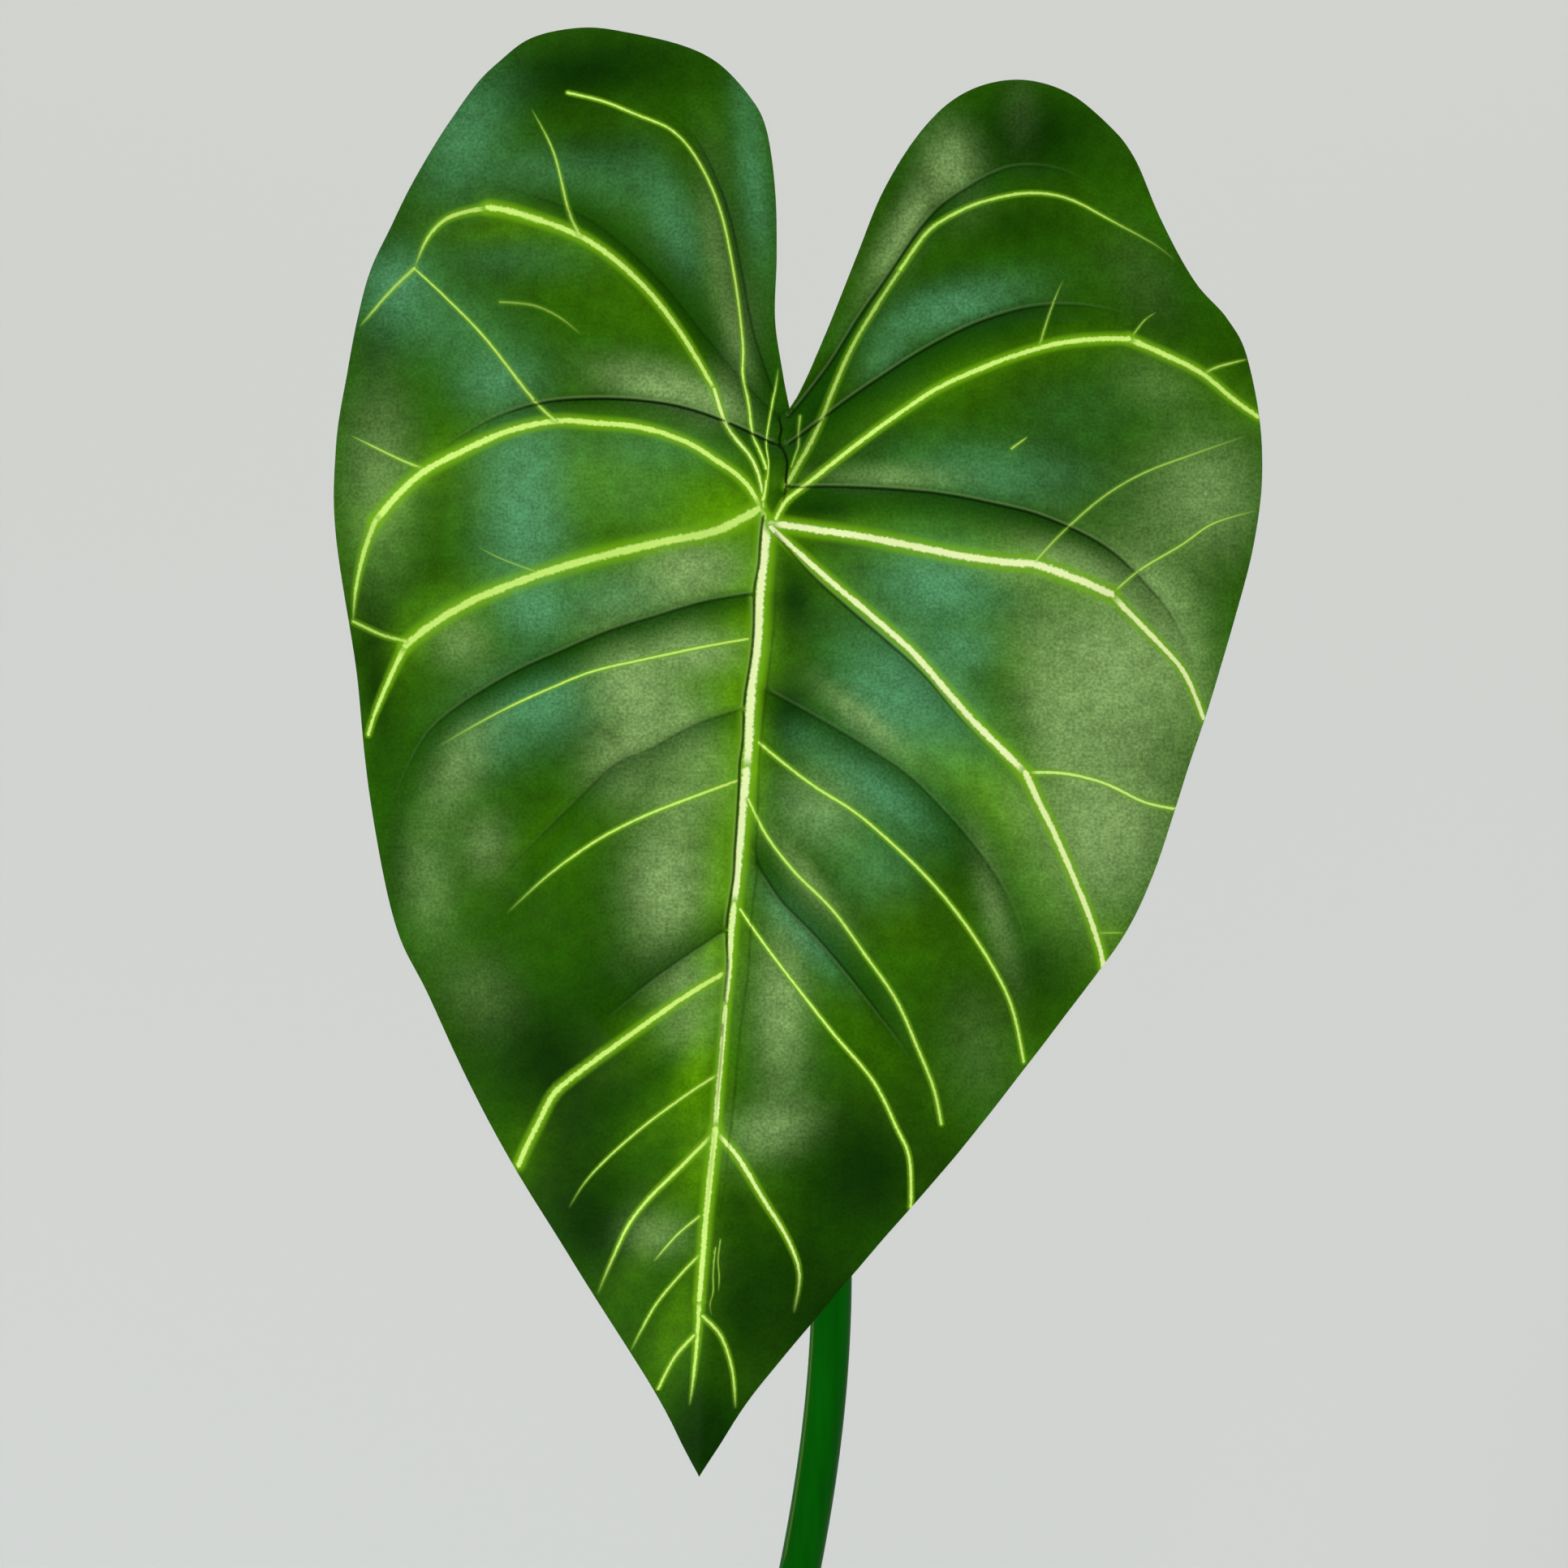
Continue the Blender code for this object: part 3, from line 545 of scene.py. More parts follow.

# %% [markdown]
# ## The blade: how the coat and the green vary
# The satin coat of the real leaf mirrors its surroundings in soft patches, blue-green on some parts of the sheet
# and a dull sage on others. Here these reflections are painted into the colour, as two sets of patches. That is a
# shortcut: they sit where they should in this light, but stay there in any other. A coat with its full gloss, and
# lamps placed to be mirrored in it, would be truer. "deep" and "bright" are where the green is painted darker,
# towards the edges above all, or brighter, along the midrib above all. Each soft patch is an oval, and patches of
# one kind add up without ever passing full strength.

# %% Lay the patches of painted reflection, and of bright and deep green
PATCHES = {
    # x, y, half length, half width, turn in degrees, strength
    # painted blue-green reflection of the coat
    "painted_blue_reflection": [(-5, 108, 4, 8, 0, 0.3), (-75, 97, 9, 15, -20, 0.6), (-58, 87, 18, 6, 0, 0.35),
              (-4, 84, 4, 20, 5, 0.6), (-38, 83, 9, 7, 0, 0.2), (-24, 76, 6, 14, 25, 0.6),
              (-62, 66, 18, 5, 0, 0.2), (-92, 60, 8, 8, 0, 0.8), (45, 54, 17, 5, 15, 0.8),
              (-80, 50, 17, 9, -20, 0.4), (29, 43, 8, 5, 45, 0.4), (-67, 36, 9, 7, 0, 0.75),
              (76, 28, 14, 8, 0, 0.1), (-30, 19, 16, 6, 0, 0.35), (-60, 17, 9, 8, 0, 0.5),
              (55, 13, 22, 7, -5, 0.5), (-34, 8, 12, 7, 0, 0.2), (-60, 4, 10, 19, 0, 1.0),
              (42, -14, 15, 10, -15, 1.0), (-38, -17, 14, 6, 10, 0.5), (-58, -20, 8, 7, 0, 0.9),
              (48, -30, 8, 5, 0, 0.75), (37, -40, 20, 9, -48, 1.0), (37, -42, 8, 10, -48, 0.4),
              (28, -42, 13, 8, -45, 0.7), (-57, -43, 13, 9, 10, 0.9), (10, -52, 7, 5, -35, 0.3),
              (-68, -52, 8, 8, 0, 0.4), (27, -64, 16, 6, -35, 0.95), (14, -72, 12, 6, -35, 0.4),
              (26, -84, 9, 8, 0, 0.4), (8, -99, 13, 4, -50, 0.9)],
    # painted dull sage reflection of the coat
    "painted_sage_reflection": [(62, 104, 4, 10, 0, 0.1), (45, 89, 6, 9, 10, 0.8), (-12, 72, 4, 18, 8, 0.6),
             (33, 72, 4, 15, -28, 0.9), (92, 62, 8, 12, 30, 0.1), (-7, 50, 4, 14, 5, 0.9),
             (-9, 38, 4, 7, 10, 0.7), (95, 35, 10, 6, -20, 0.25), (-25, 34, 15, 5, -15, 0.95),
             (-14, 29, 6, 4, 0, 0.9), (-96, 12, 8, 20, 0, 0.5), (30, 12, 14, 3, 0, 0.6),
             (107, 8, 13, 14, 0, 0.7), (-20, -8, 9, 5, 0, 0.6), (60, -10, 10, 4, -10, 0.4),
             (80, -10, 18, 5, -20, 0.9), (-20, -12, 12, 6, 10, 0.9), (-22, -26, 7, 9, 0, 0.5),
             (-76, -28, 7, 7, 0, 0.5), (98, -28, 9, 22, 15, 0.8), (-18, -31, 10, 5, 5, 0.95),
             (84, -36, 16, 22, 10, 1.0), (-33, -40, 10, 17, 20, 1.0), (72, -48, 8, 24, 12, 0.8),
             (24, -48, 12, 3, -40, 0.7), (-21, -50, 7, 9, 0, 0.8), (-34, -55, 8, 5, 10, 0.8),
             (-76, -58, 6, 15, -25, 0.55), (-15, -62, 6, 10, 0, 0.4), (-38, -62, 8, 6, 0, 0.5),
             (-22, -68, 6, 6, 0, 0.5), (12, -69, 9, 8, -30, 0.55), (62, -70, 5, 10, 30, 0.3),
             (83, -74, 15, 20, -10, 1.0), (-70, -78, 6, 8, 0, 0.4), (9, -87, 13, 3, -52, 0.6),
             (-25, -88, 9, 17, 0, 0.95), (-84, -88, 6, 13, 5, 0.4), (55, -92, 3, 15, 15, 0.6),
             (-20, -112, 8, 6, 0, 0.5), (-72, -114, 10, 8, -55, 0.2), (3, -118, 6, 18, 0, 0.85),
             (-20, -122, 7, 6, 30, 0.5), (52, -130, 8, 14, 10, 0.15), (0, -148, 10, 6, 20, 0.7),
             (-28, -174, 7, 5, 0, 0.5)],
    "bright": [(-64, 73, 14, 4, 5, 0.4), (-46, 58, 12, 12, 0, 0.1), (-30, 55, 8, 10, 0, 0.2),
               (95, 41, 20, 5, -25, 0.2), (40, 31, 24, 5, 30, 0.15), (-52, 14, 26, 9, 5, 0.25),
               (-34, 12, 20, 8, 5, 0.25), (-90, 11, 14, 5, 42, 0.3), (-42, 8, 36, 13, 0, 0.3),
               (-12, 2, 14, 8, 10, 0.9), (-2, -8, 5, 4, 0, 0.6), (-70, -16, 20, 5, 15, 0.4),
               (-1, -24, 5, 20, 0, 0.4), (-7, -24, 18, 4.5, 84, 0.9), (58, -30, 16, 8, -35, 0.25),
               (-92, -31, 12, 5, 48, 0.5), (-15, -40, 38, 9, 87, 0.5), (38, -56, 10, 8, -45, 0.3),
               (-9, -56, 24, 4.5, 86, 1.0), (50, -60, 22, 6, -48, 0.75), (60, -66, 8, 12, 30, 0.4),
               (-50, -72, 22, 5, 40, 0.25), (20, -78, 16, 6, -50, 0.3), (69, -92, 18, 5, -65, 0.35),
               (-13, -92, 26, 4.5, 85, 1.0), (30, -95, 18, 9, -52, 0.15), (84, -100, 5, 6, 0, 0.6),
               (-12, -104, 8, 10, 0, 0.5), (24, -124, 16, 6, -50, 0.3), (-17, -128, 16, 4, 82, 1.0),
               (-30, -128, 14, 4, 38, 0.3), (-48, -138, 10, 4, 38, 0.5), (-25, -143, 16, 5, 42, 0.4),
               (-17, -156, 16, 5, 82, 0.7), (-30, -176, 14, 4, 60, 0.5), (-22, -196, 17, 5, 70, 0.5)],
    "deep": [(-45, 112, 32, 11, 8, 1.0), (64, 97, 20, 14, 0, 1.0), (-40, 92, 12, 6, 0, 0.5),
             (34, 84, 8, 12, -28, 0.4), (-76, 84, 12, 10, -30, 0.3), (60, 74, 16, 7, 0, 0.5),
             (-22, 62, 5, 8, 20, 0.5), (40, 60, 22, 7, 30, 0.4), (100, 60, 8, 16, -40, 0.3),
             (70, 48, 30, 10, 0, 0.35), (-96, 48, 8, 26, -5, 0.6), (98, 46, 16, 10, -30, 0.5),
             (-10, 42, 4, 14, 25, 0.5), (12, 32, 4, 13, -30, 0.9), (30, 22, 12, 4, 35, 0.5),
             (22, 20, 10, 5, 30, 0.5), (13, 15, 6, 5, 30, 0.7), (12, 5, 12, 4, 0, 1.0),
             (18, -3, 10, 3, -5, 0.8), (6, -18, 5, 10, 0, 0.9), (-97, -38, 6, 24, 5, 0.9),
             (5, -46, 5, 9, 0, 1.0), (-84, -58, 6, 10, 0, 0.4), (-30, -60, 8, 4, 0, 0.3),
             (-92, -80, 4, 16, 5, 0.6), (40, -84, 14, 10, -45, 0.3), (66, -108, 14, 10, 45, 0.6),
             (-40, -112, 12, 8, 40, 0.5), (28, -124, 14, 10, -45, 0.5), (-52, -134, 20, 24, 30, 1.0),
             (24, -160, 20, 20, 40, 1.0), (-10, -168, 8, 8, 0, 0.5), (-44, -172, 14, 16, 35, 1.0),
             (8, -180, 12, 14, 0, 0.8), (-6, -192, 12, 18, 0, 0.85), (20, -195, 14, 10, 45, 1.0),
             (12, -196, 9, 16, -40, 0.6), (-14, -224, 12, 16, 0, 1.0), (-16, -228, 8, 9, 0, 1.0)],
}


def patch_values(points, patches):
    total = np.zeros(len(points))
    for x, y, half_length, half_width, turn, strength in patches:
        run, rise = cos(radians(turn)), sin(radians(turn))
        along = (points[:, 0] - x) * run + (points[:, 1] - y) * rise
        across = (points[:, 1] - y) * run - (points[:, 0] - x) * rise
        here = strength * np.exp(-(along / half_length)**2 - (across / half_width)**2)
        total = total + here - total * here
    return total


BRIGHT_GLOW = 0.85
RIB_GLOW = 0.95
# The coat values are the painted blue-green and sage reflections, and where the green is painted darker.
coat = np.column_stack([patch_values(flat, PATCHES[kind]) for kind in ("painted_blue_reflection", "painted_sage_reflection", "deep")])
glow = np.maximum(glow, BRIGHT_GLOW * patch_values(flat, PATCHES["bright"]))
glow = np.maximum(glow, RIB_GLOW * np.clip(rib_rise(flat) / (RIB_HEIGHT / 3), 0, 1))
print("mean bloom, haze and deep dye:", coat.mean(0).round(2))

# %% [markdown]
# ## The blade: the sheet itself
# The joined points become the printed side. Solidify gives the sheet its thickness towards the back and hands
# the back and the cut edge to materials of their own, because the back is unprinted and the cut shows the cloth.
# A UV map keeps the flat drawing, so a grain printed on the sheet follows it through every crease.

# %% Make the blade
UV_SIZE = 400.0  # millimetres across the map
SHEET_SIDES = 3  # front, back and cut edge


def make_blade():
    mesh = bpy.data.meshes.new("leaf_blade_printed")
    corners = np.column_stack([flat, height]) * MM
    mesh.from_pydata(corners.tolist(), [], triangles)
    mesh.transform(leaf_to_world)
    for name, values in (("glow", glow), ("shade", shade)):
        mesh.attributes.new(name, "FLOAT", "POINT").data.foreach_set("value", values.astype(np.float32))
    vectors = {"coat": coat, "crease": crease_values}
    vectors.update({f"veins_{layer}": values for layer, values in enumerate(vein_attributes)})
    for name, values in vectors.items():
        attribute = mesh.attributes.new(name, "FLOAT_VECTOR", "POINT")
        attribute.data.foreach_set("vector", values.astype(np.float32).ravel())
    uv_map = mesh.uv_layers.new(name="drawing")
    corner_points = np.zeros(len(mesh.loops), int)
    mesh.loops.foreach_get("vertex_index", corner_points)
    uv_map.data.foreach_set("uv", (flat[corner_points] / UV_SIZE + 0.5).astype(np.float32).ravel())
    for _ in range(SHEET_SIDES):
        mesh.materials.append(None)
    blade = bpy.data.objects.new("leaf_blade_printed", mesh)
    bpy.context.scene.collection.objects.link(blade)
    return blade


def apply_modifiers(obj):
    bpy.ops.object.select_all(action="DESELECT")
    obj.select_set(True)
    bpy.context.view_layer.objects.active = obj
    for modifier in list(obj.modifiers):
        bpy.ops.object.modifier_apply(modifier=modifier.name)


blade = make_blade()
thicken = blade.modifiers.new("sheet", "SOLIDIFY")
thicken.thickness = SHEET
thicken.offset = -1
thicken.material_offset = 1
thicken.material_offset_rim = 2
apply_modifiers(blade)
bpy.ops.object.shade_smooth_by_angle(angle=radians(50))
print("blade", len(blade.data.polygons), "faces")

# %% [markdown]
# ## The leaf's print
# The front of a fabric leaf is printed polyester with a thin clear coat of plastic: deep green, mottled by the dye
# taking unevenly in the cloth. The lime of a vein is solid in its middle and soft at its edge, where ink has crept
# along the threads, so noise shifts the edge in and out. The real coat has a satin gloss. Its specular level here,
# 0.02, is far below the 0.5 of such a plastic, because the mirrored patches are already in the colour and a full
# gloss laid a grey veil over the dark greens. So the leaf looks flatter than the real one under a moving light.

# %% The printed leaf material
def printed_leaf_material():
    material, tree, shader = new_material("coated_printed_polyester", Roughness=0.4, IOR=1.47,
                                          Specular_IOR_Level=0.02)
    place = add(tree, "ShaderNodeUVMap", uv_map="drawing")
    # The map is UV_SIZE wide, so a scale of UV_SIZE / size gives patches of that size in millimetres.
    patches, mottle, threads = [add(tree, "ShaderNodeTexNoise", {"Vector": (place, "UV"), "Scale": UV_SIZE / size,
                                                                "Detail": detail, "Roughness": 0.6})
                                for size, detail in ((32, 3.0), (4, 4.0), (0.8, 3.0))]
    values = {name: add(tree, "ShaderNodeAttribute", attribute_name=name)
              for name in ("coat", "crease", "glow", "shade")}
    coat_parts = add(tree, "ShaderNodeSeparateXYZ", {0: (values["coat"], "Vector")})
    crease_parts = add(tree, "ShaderNodeSeparateXYZ", {0: (values["crease"], "Vector")})

    def painted(under, factor, paint):
        """The paint over what is under it, by a factor."""
        return add(tree, "ShaderNodeMix", {"Factor": factor, "A": under, "B": paint}, data_type="RGBA")

    def times(value, factor):
        return add(tree, "ShaderNodeMath", {0: value, 1: factor}, operation="MULTIPLY")

    broken = add(tree, "ShaderNodeMapRange", {"Value": (mottle, "Fac"), "From Min": 0.3, "From Max": 0.7,
                                              "To Min": 0.82, "To Max": 1.08})
    sparkle = add(tree, "ShaderNodeMapRange", {"Value": (threads, "Fac"), "From Min": 0.35, "From Max": 0.65,
                                               "To Min": 0.8, "To Max": 1.16})
    coated = add(tree, "ShaderNodeMath", {0: (broken, 0), 1: (sparkle, 0)}, operation="MULTIPLY")
    tone = add(tree, "ShaderNodeMapRange", {"Value": (patches, "Fac"), "From Min": 0.35, "From Max": 0.65})
    dye = painted(linear("254e02"), (tone, 0), linear("2c6204"))
    glowing = painted((dye, "Result"), (times((values["glow"], "Fac"), (broken, 0)), 0), linear("66a405"))
    deep = painted((glowing, "Result"), (times((coat_parts, "Z"), 0.95), 0), linear("082c00"))
    # The painted reflections of the satin coat: blue-green, then dull sage.
    painted_blue_reflection = painted((deep, "Result"), (times((coat_parts, "X"), (coated, 0)), 0), linear("539263"))
    painted_sage_reflection = painted((painted_blue_reflection, "Result"), (times((coat_parts, "Y"), (coated, 0)), 0), linear("84a662"))
    # Painted shade on the shaded bank of each crease, darkest near the groove.
    shaded = times((values["shade"], "Fac"), (broken, 0))
    painted_crease_shade = painted((painted_sage_reflection, "Result"), (times((shaded, 0), 0.92), 0), linear("144400"))

    grains = add(tree, "ShaderNodeMix", {"Factor": 0.35, "A": (threads, "Fac"), "B": (mottle, "Fac")},
                 data_type="FLOAT")
    speckle = add(tree, "ShaderNodeMapRange", {"Value": (grains, "Result"), "From Min": 0.35, "From Max": 0.65,
                                               "To Min": 0.76, "To Max": 1.24})
    speckled = add(tree, "ShaderNodeVectorMath", {0: (painted_crease_shade, "Result"), 1: (speckle, "Result")},
                   operation="MULTIPLY")
    wavering = add(tree, "ShaderNodeMath", {0: (grains, "Result"), 1: 0.5}, operation="SUBTRACT")
    colour = (speckled, 0)
    for layer in range(LAYERS):
        vein = add(tree, "ShaderNodeAttribute", attribute_name=f"veins_{layer}")
        parts = add(tree, "ShaderNodeSeparateXYZ", {0: (vein, "Vector")})
        edge = add(tree, "ShaderNodeMath", {0: (wavering, 0), 1: 2.0, 2: (parts, "X")}, operation="MULTIPLY_ADD")
        fringe = add(tree, "ShaderNodeMapRange", {"Value": (edge, 0), "From Min": 3.4, "From Max": 0.9,
                                                  "To Max": 0.85}, interpolation_type="SMOOTHSTEP")
        fringed = painted(colour, (times((fringe, 0), (parts, "Y")), 0), linear("71aa12"))
        ink = painted(linear("cff277"), (parts, "Z"), linear("e8f4b0"))
        core = add(tree, "ShaderNodeMapRange", {"Value": (edge, 0), "From Min": 1.15, "From Max": 0.55},
                   interpolation_type="SMOOTHSTEP")
        colour = (painted((fringed, "Result"), (times((core, 0), (parts, "Y")), 0), (ink, "Result")), "Result")

    # A sharp crease gets a painted dark line of shade at the bottom of its groove and, on its lit bank, a painted
    # pale highlight a hair wide.
    hair = add(tree, "ShaderNodeMapRange", {"Value": (crease_parts, "X"), "From Min": 1.1, "From Max": 0.5,
                                            "To Max": 0.55}, interpolation_type="SMOOTHSTEP")
    lit_hair = times((times((hair, 0), (crease_parts, "Z")), 0), (crease_parts, "Y"))
    haired = painted(colour, (lit_hair, 0), linear("8ba669"))
    line = add(tree, "ShaderNodeMapRange", {"Value": (crease_parts, "X"), "From Min": 0.55, "From Max": 0.15,
                                            "To Max": 0.95}, interpolation_type="SMOOTHSTEP")
    lined = painted((haired, "Result"), (times((line, 0), (crease_parts, "Y")), 0), linear("061c02"))
    join(tree, lined, "Result", shader, "Base Color")

    gloss = add(tree, "ShaderNodeMapRange", {"Value": (mottle, "Fac"), "To Min": 0.34, "To Max": 0.5})
    join(tree, gloss, "Result", shader, "Roughness")
    grain = add(tree, "ShaderNodeBump", {"Height": (threads, "Fac"), "Strength": 0.35, "Distance": 0.05 * MM})
    join(tree, grain, "Normal", shader, "Normal")
    return material


# %% [markdown]
# ## The leaf's back and its cut edge
# The back is the bare cloth, dyed through in a paler green and matt. The cut edge shows the cloth's white core.

# %% The cloth materials
def leaf_back_material():
    material, tree, shader = new_material("dyed_polyester_back", Roughness=0.75, IOR=1.47, Sheen_Weight=0.15)
    place = add(tree, "ShaderNodeUVMap", uv_map="drawing")
    cloth = add(tree, "ShaderNodeTexNoise", {"Vector": (place, "UV"), "Scale": UV_SIZE / 1.4, "Detail": 4.0})
    patches = add(tree, "ShaderNodeTexNoise", {"Vector": (place, "UV"), "Scale": UV_SIZE / 30, "Detail": 3.0})
    both = add(tree, "ShaderNodeMath", {0: (cloth, "Fac"), 1: 0.5, 2: (patches, "Fac")}, operation="MULTIPLY_ADD")
    colour = add(tree, "ShaderNodeMapRange", {"Value": (both, 0), "From Min": 0.55, "From Max": 0.95})
    dye = add(tree, "ShaderNodeMix", {"Factor": (colour, 0), "A": linear("4e7d33"), "B": linear("6b9a48")},
              data_type="RGBA")
    glow_through = add(tree, "ShaderNodeAttribute", attribute_name="glow")
    through = add(tree, "ShaderNodeMapRange", {"Value": (glow_through, "Fac"), "From Min": 0.5, "From Max": 1.0,
                                               "To Max": 0.4})
    shown = add(tree, "ShaderNodeMix", {"Factor": (through, 0), "A": (dye, "Result"), "B": linear("a9cf7a")},
                data_type="RGBA")
    join(tree, shown, "Result", shader, "Base Color")
    weave = add(tree, "ShaderNodeBump", {"Height": (cloth, "Fac"), "Strength": 0.5, "Distance": 0.1 * MM})
    join(tree, weave, "Normal", shader, "Normal")
    return material


def cut_edge_material():
    material, tree, shader = new_material("cut_polyester_edge", Roughness=0.85, IOR=1.5)
    place = add(tree, "ShaderNodeTexCoord")
    frayed = add(tree, "ShaderNodeTexNoise", {"Vector": (place, "Object"), "Scale": 1 / (2.5 * MM), "Detail": 3.0})
    dyed = add(tree, "ShaderNodeMapRange", {"Value": (frayed, "Fac"), "From Min": 0.4, "From Max": 0.62})
    colour = add(tree, "ShaderNodeMix", {"Factor": (dyed, 0), "A": linear("d9dccb"), "B": linear("7c9a5a")},
                 data_type="RGBA")
    join(tree, colour, "Result", shader, "Base Color")
    return material


for side, material in enumerate((printed_leaf_material(), leaf_back_material(), cut_edge_material())):
    blade.data.materials[side] = material
finish_piece(blade, "printed_leaf", "leaf_blade")

# %% [markdown]
# ## The stem
# The real stem is plastic moulded round a wire, so it has a parting line down each side where the two halves of the
# mould met. A round section with two low ridges is swept along the stem's line as a curve's bevel object, and the
# curve's radius tapers it. The line is the CAD stem's: straight in the pot, bowed to the right above it, and bent
# forward at the neck to meet the back of the leaf. The section keeps its turn by the smallest twist, because one
# that is kept upright would flip over where the bowed line passes through the vertical. It is turned so that one
# parting line shows at the front left.

# %% Sweep the stem
STEM_BOW = 23.4 * MM
NECK_RADIUS = 26 * MM
SOCKET_LENGTH = 11 * MM
FOOT_DIAMETER = 13.6 * MM
TOP_DIAMETER = 9.6 * MM
PARTING_HEIGHT = 0.22 * MM
PARTING_TURN = radians(-30)
PARTING_WIDTH = 0.09  # half of it, in radians round the section
STEM_STEPS = 90
stem_low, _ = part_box("stem_sleeve")
dressing_low, dressing_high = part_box("dressing")
DRESSING_DOME = 3 * MM
dressing_top = dressing_high.z - DRESSING_DOME
neck_turn = pi / 2 - LEAF_TILT
stem_end = junction - out_leaf * (SHEET + 2 * GLUE_GAP + 1.5 * MM)
straight_start = stem_end - out_leaf * SOCKET_LENGTH
neck_foot = straight_start.z - NECK_RADIUS * sin(neck_turn)


def stem_line(steps):
    points = [Vector((0, 0, stem_low.z)), Vector((0, 0, (stem_low.z + dressing_top) / 2))]
    for i in range(steps + 1):
        rise = i / steps
        points.append(Vector((junction.x * rise + STEM_BOW * max(sin(pi * rise), 0)**1.5, 0,
                              dressing_top + (neck_foot - dressing_top) * rise)))
    for i in range(1, 13):
        turn = neck_turn * i / 12
        points.append(Vector((junction.x, -NECK_RADIUS * (1 - cos(turn)), neck_foot + NECK_RADIUS * sin(turn))))
    return points + [stem_end]


def parted_section(ridge, width, sides=40):
    """A circle of radius 1 with a low ridge on its left and its right, as a closed curve."""
    curve = bpy.data.curves.new("stem_section", "CURVE")
    spline = curve.splines.new("POLY")
    spline.use_cyclic_u = True
    angles = sorted([2 * pi * i / sides for i in range(sides)] + [a + s * width for a in (0, pi) for s in (-1, 1)])
    spline.points.add(len(angles) - 1)
    for point, angle in zip(spline.points, angles):
        from_ridge = min(abs(sin(angle)), 1) / sin(width)
        radius = 1 + ridge * (1 if cos(angle)**2 > 0.5 and from_ridge < 0.5 else 0)
        point.co = (radius * cos(angle + PARTING_TURN), radius * sin(angle + PARTING_TURN), 0, 1)
    return bpy.data.objects.new("stem_section", curve)


def sweep(name, points, start_radius, end_radius, section):
    """A curve through the points with this section, made a closed mesh."""
    curve = bpy.data.curves.new(name, "CURVE")
    curve.dimensions = "3D"
    curve.bevel_mode = "OBJECT"
    curve.bevel_object = section
    curve.use_fill_caps = True
    curve.twist_mode = "MINIMUM"
    spline = curve.splines.new("POLY")
    spline.points.add(len(points) - 1)
    run = np.concatenate([[0], np.cumsum([(b - a).length for a, b in zip(points, points[1:])])])
    for i, point in enumerate(points):
        spline.points[i].co = (*point, 1)
        spline.points[i].radius = start_radius + (end_radius - start_radius) * run[i] / run[-1]
    obj = bpy.data.objects.new(name, curve)
    bpy.context.scene.collection.objects.link(obj)
    bpy.context.view_layer.update()
    mesh = bpy.data.meshes.new_from_object(obj.evaluated_get(bpy.context.evaluated_depsgraph_get()))
    bpy.data.objects.remove(obj)
    solid = bpy.data.objects.new(name, mesh)
    bpy.context.scene.collection.objects.link(solid)
    tidy_mesh(solid)
    return solid


def tidy_mesh(obj, angle=35):
    """Merges doubles, turns every face outwards and shades smooth up to an angle."""
    shape = bmesh.new()
    shape.from_mesh(obj.data)
    bmesh.ops.remove_doubles(shape, verts=shape.verts, dist=0.01 * MM)
    bmesh.ops.recalc_face_normals(shape, faces=shape.faces)
    shape.to_mesh(obj.data)
    shape.free()
    bpy.ops.object.select_all(action="DESELECT")
    obj.select_set(True)
    bpy.context.view_layer.objects.active = obj
    bpy.ops.object.shade_smooth_by_angle(angle=radians(angle))


section = parted_section(PARTING_HEIGHT / (TOP_DIAMETER / 2), PARTING_WIDTH)
stem = sweep("stem_moulded", stem_line(STEM_STEPS), FOOT_DIAMETER / 2, TOP_DIAMETER / 2, section)
print("stem from", [round(v, 3) for v in stem_low], "to", [round(v, 3) for v in stem_end])

# %% [markdown]
# ## The stem's plastic
# The stem is injection-moulded polyethylene, coloured all through: an even strong green with faint flow marks along
# it, and a slightly paler, olive line where the parting edge has been scraped. Its specular level is set as far
# below a real plastic's as the leaf's, and for the same reason.

# %% The moulded stem material
def moulded_green_material(name, parting=True):
    material, tree, shader = new_material(name, Roughness=0.36, IOR=1.51, Specular_IOR_Level=0.02)
    place = add(tree, "ShaderNodeTexCoord")
    stretch = add(tree, "ShaderNodeMapping", {"Vector": (place, "Object"), "Scale": (1, 1, 0.08)})
    flow = add(tree, "ShaderNodeTexNoise", {"Vector": (stretch, "Vector"), "Scale": 1 / (3 * MM), "Detail": 3.0})
    skin = add(tree, "ShaderNodeTexNoise", {"Vector": (place, "Object"), "Scale": 1 / (0.8 * MM), "Detail": 2.0})
    tone = add(tree, "ShaderNodeMapRange", {"Value": (flow, "Fac"), "From Min": 0.3, "From Max": 0.7})
    green = add(tree, "ShaderNodeMix", {"Factor": (tone, 0), "A": linear("004c00"), "B": linear("015a01")},
                data_type="RGBA")
    colour = green
    if parting:
        ridge = add(tree, "ShaderNodeAttribute", attribute_name="parting")
        colour = add(tree, "ShaderNodeMix", {"Factor": (ridge, "Fac"), "A": (green, "Result"),
                                             "B": linear("566e22")}, data_type="RGBA")
    join(tree, colour, "Result", shader, "Base Color")
    gloss = add(tree, "ShaderNodeMapRange", {"Value": (flow, "Fac"), "To Min": 0.28, "To Max": 0.44})
    join(tree, gloss, 0, shader, "Roughness")
    bump = add(tree, "ShaderNodeBump", {"Height": (skin, "Fac"), "Strength": 0.25, "Distance": 0.04 * MM})
    join(tree, bump, "Normal", shader, "Normal")
    return material


STANDS_OUT = 1.012  # times the section's radius


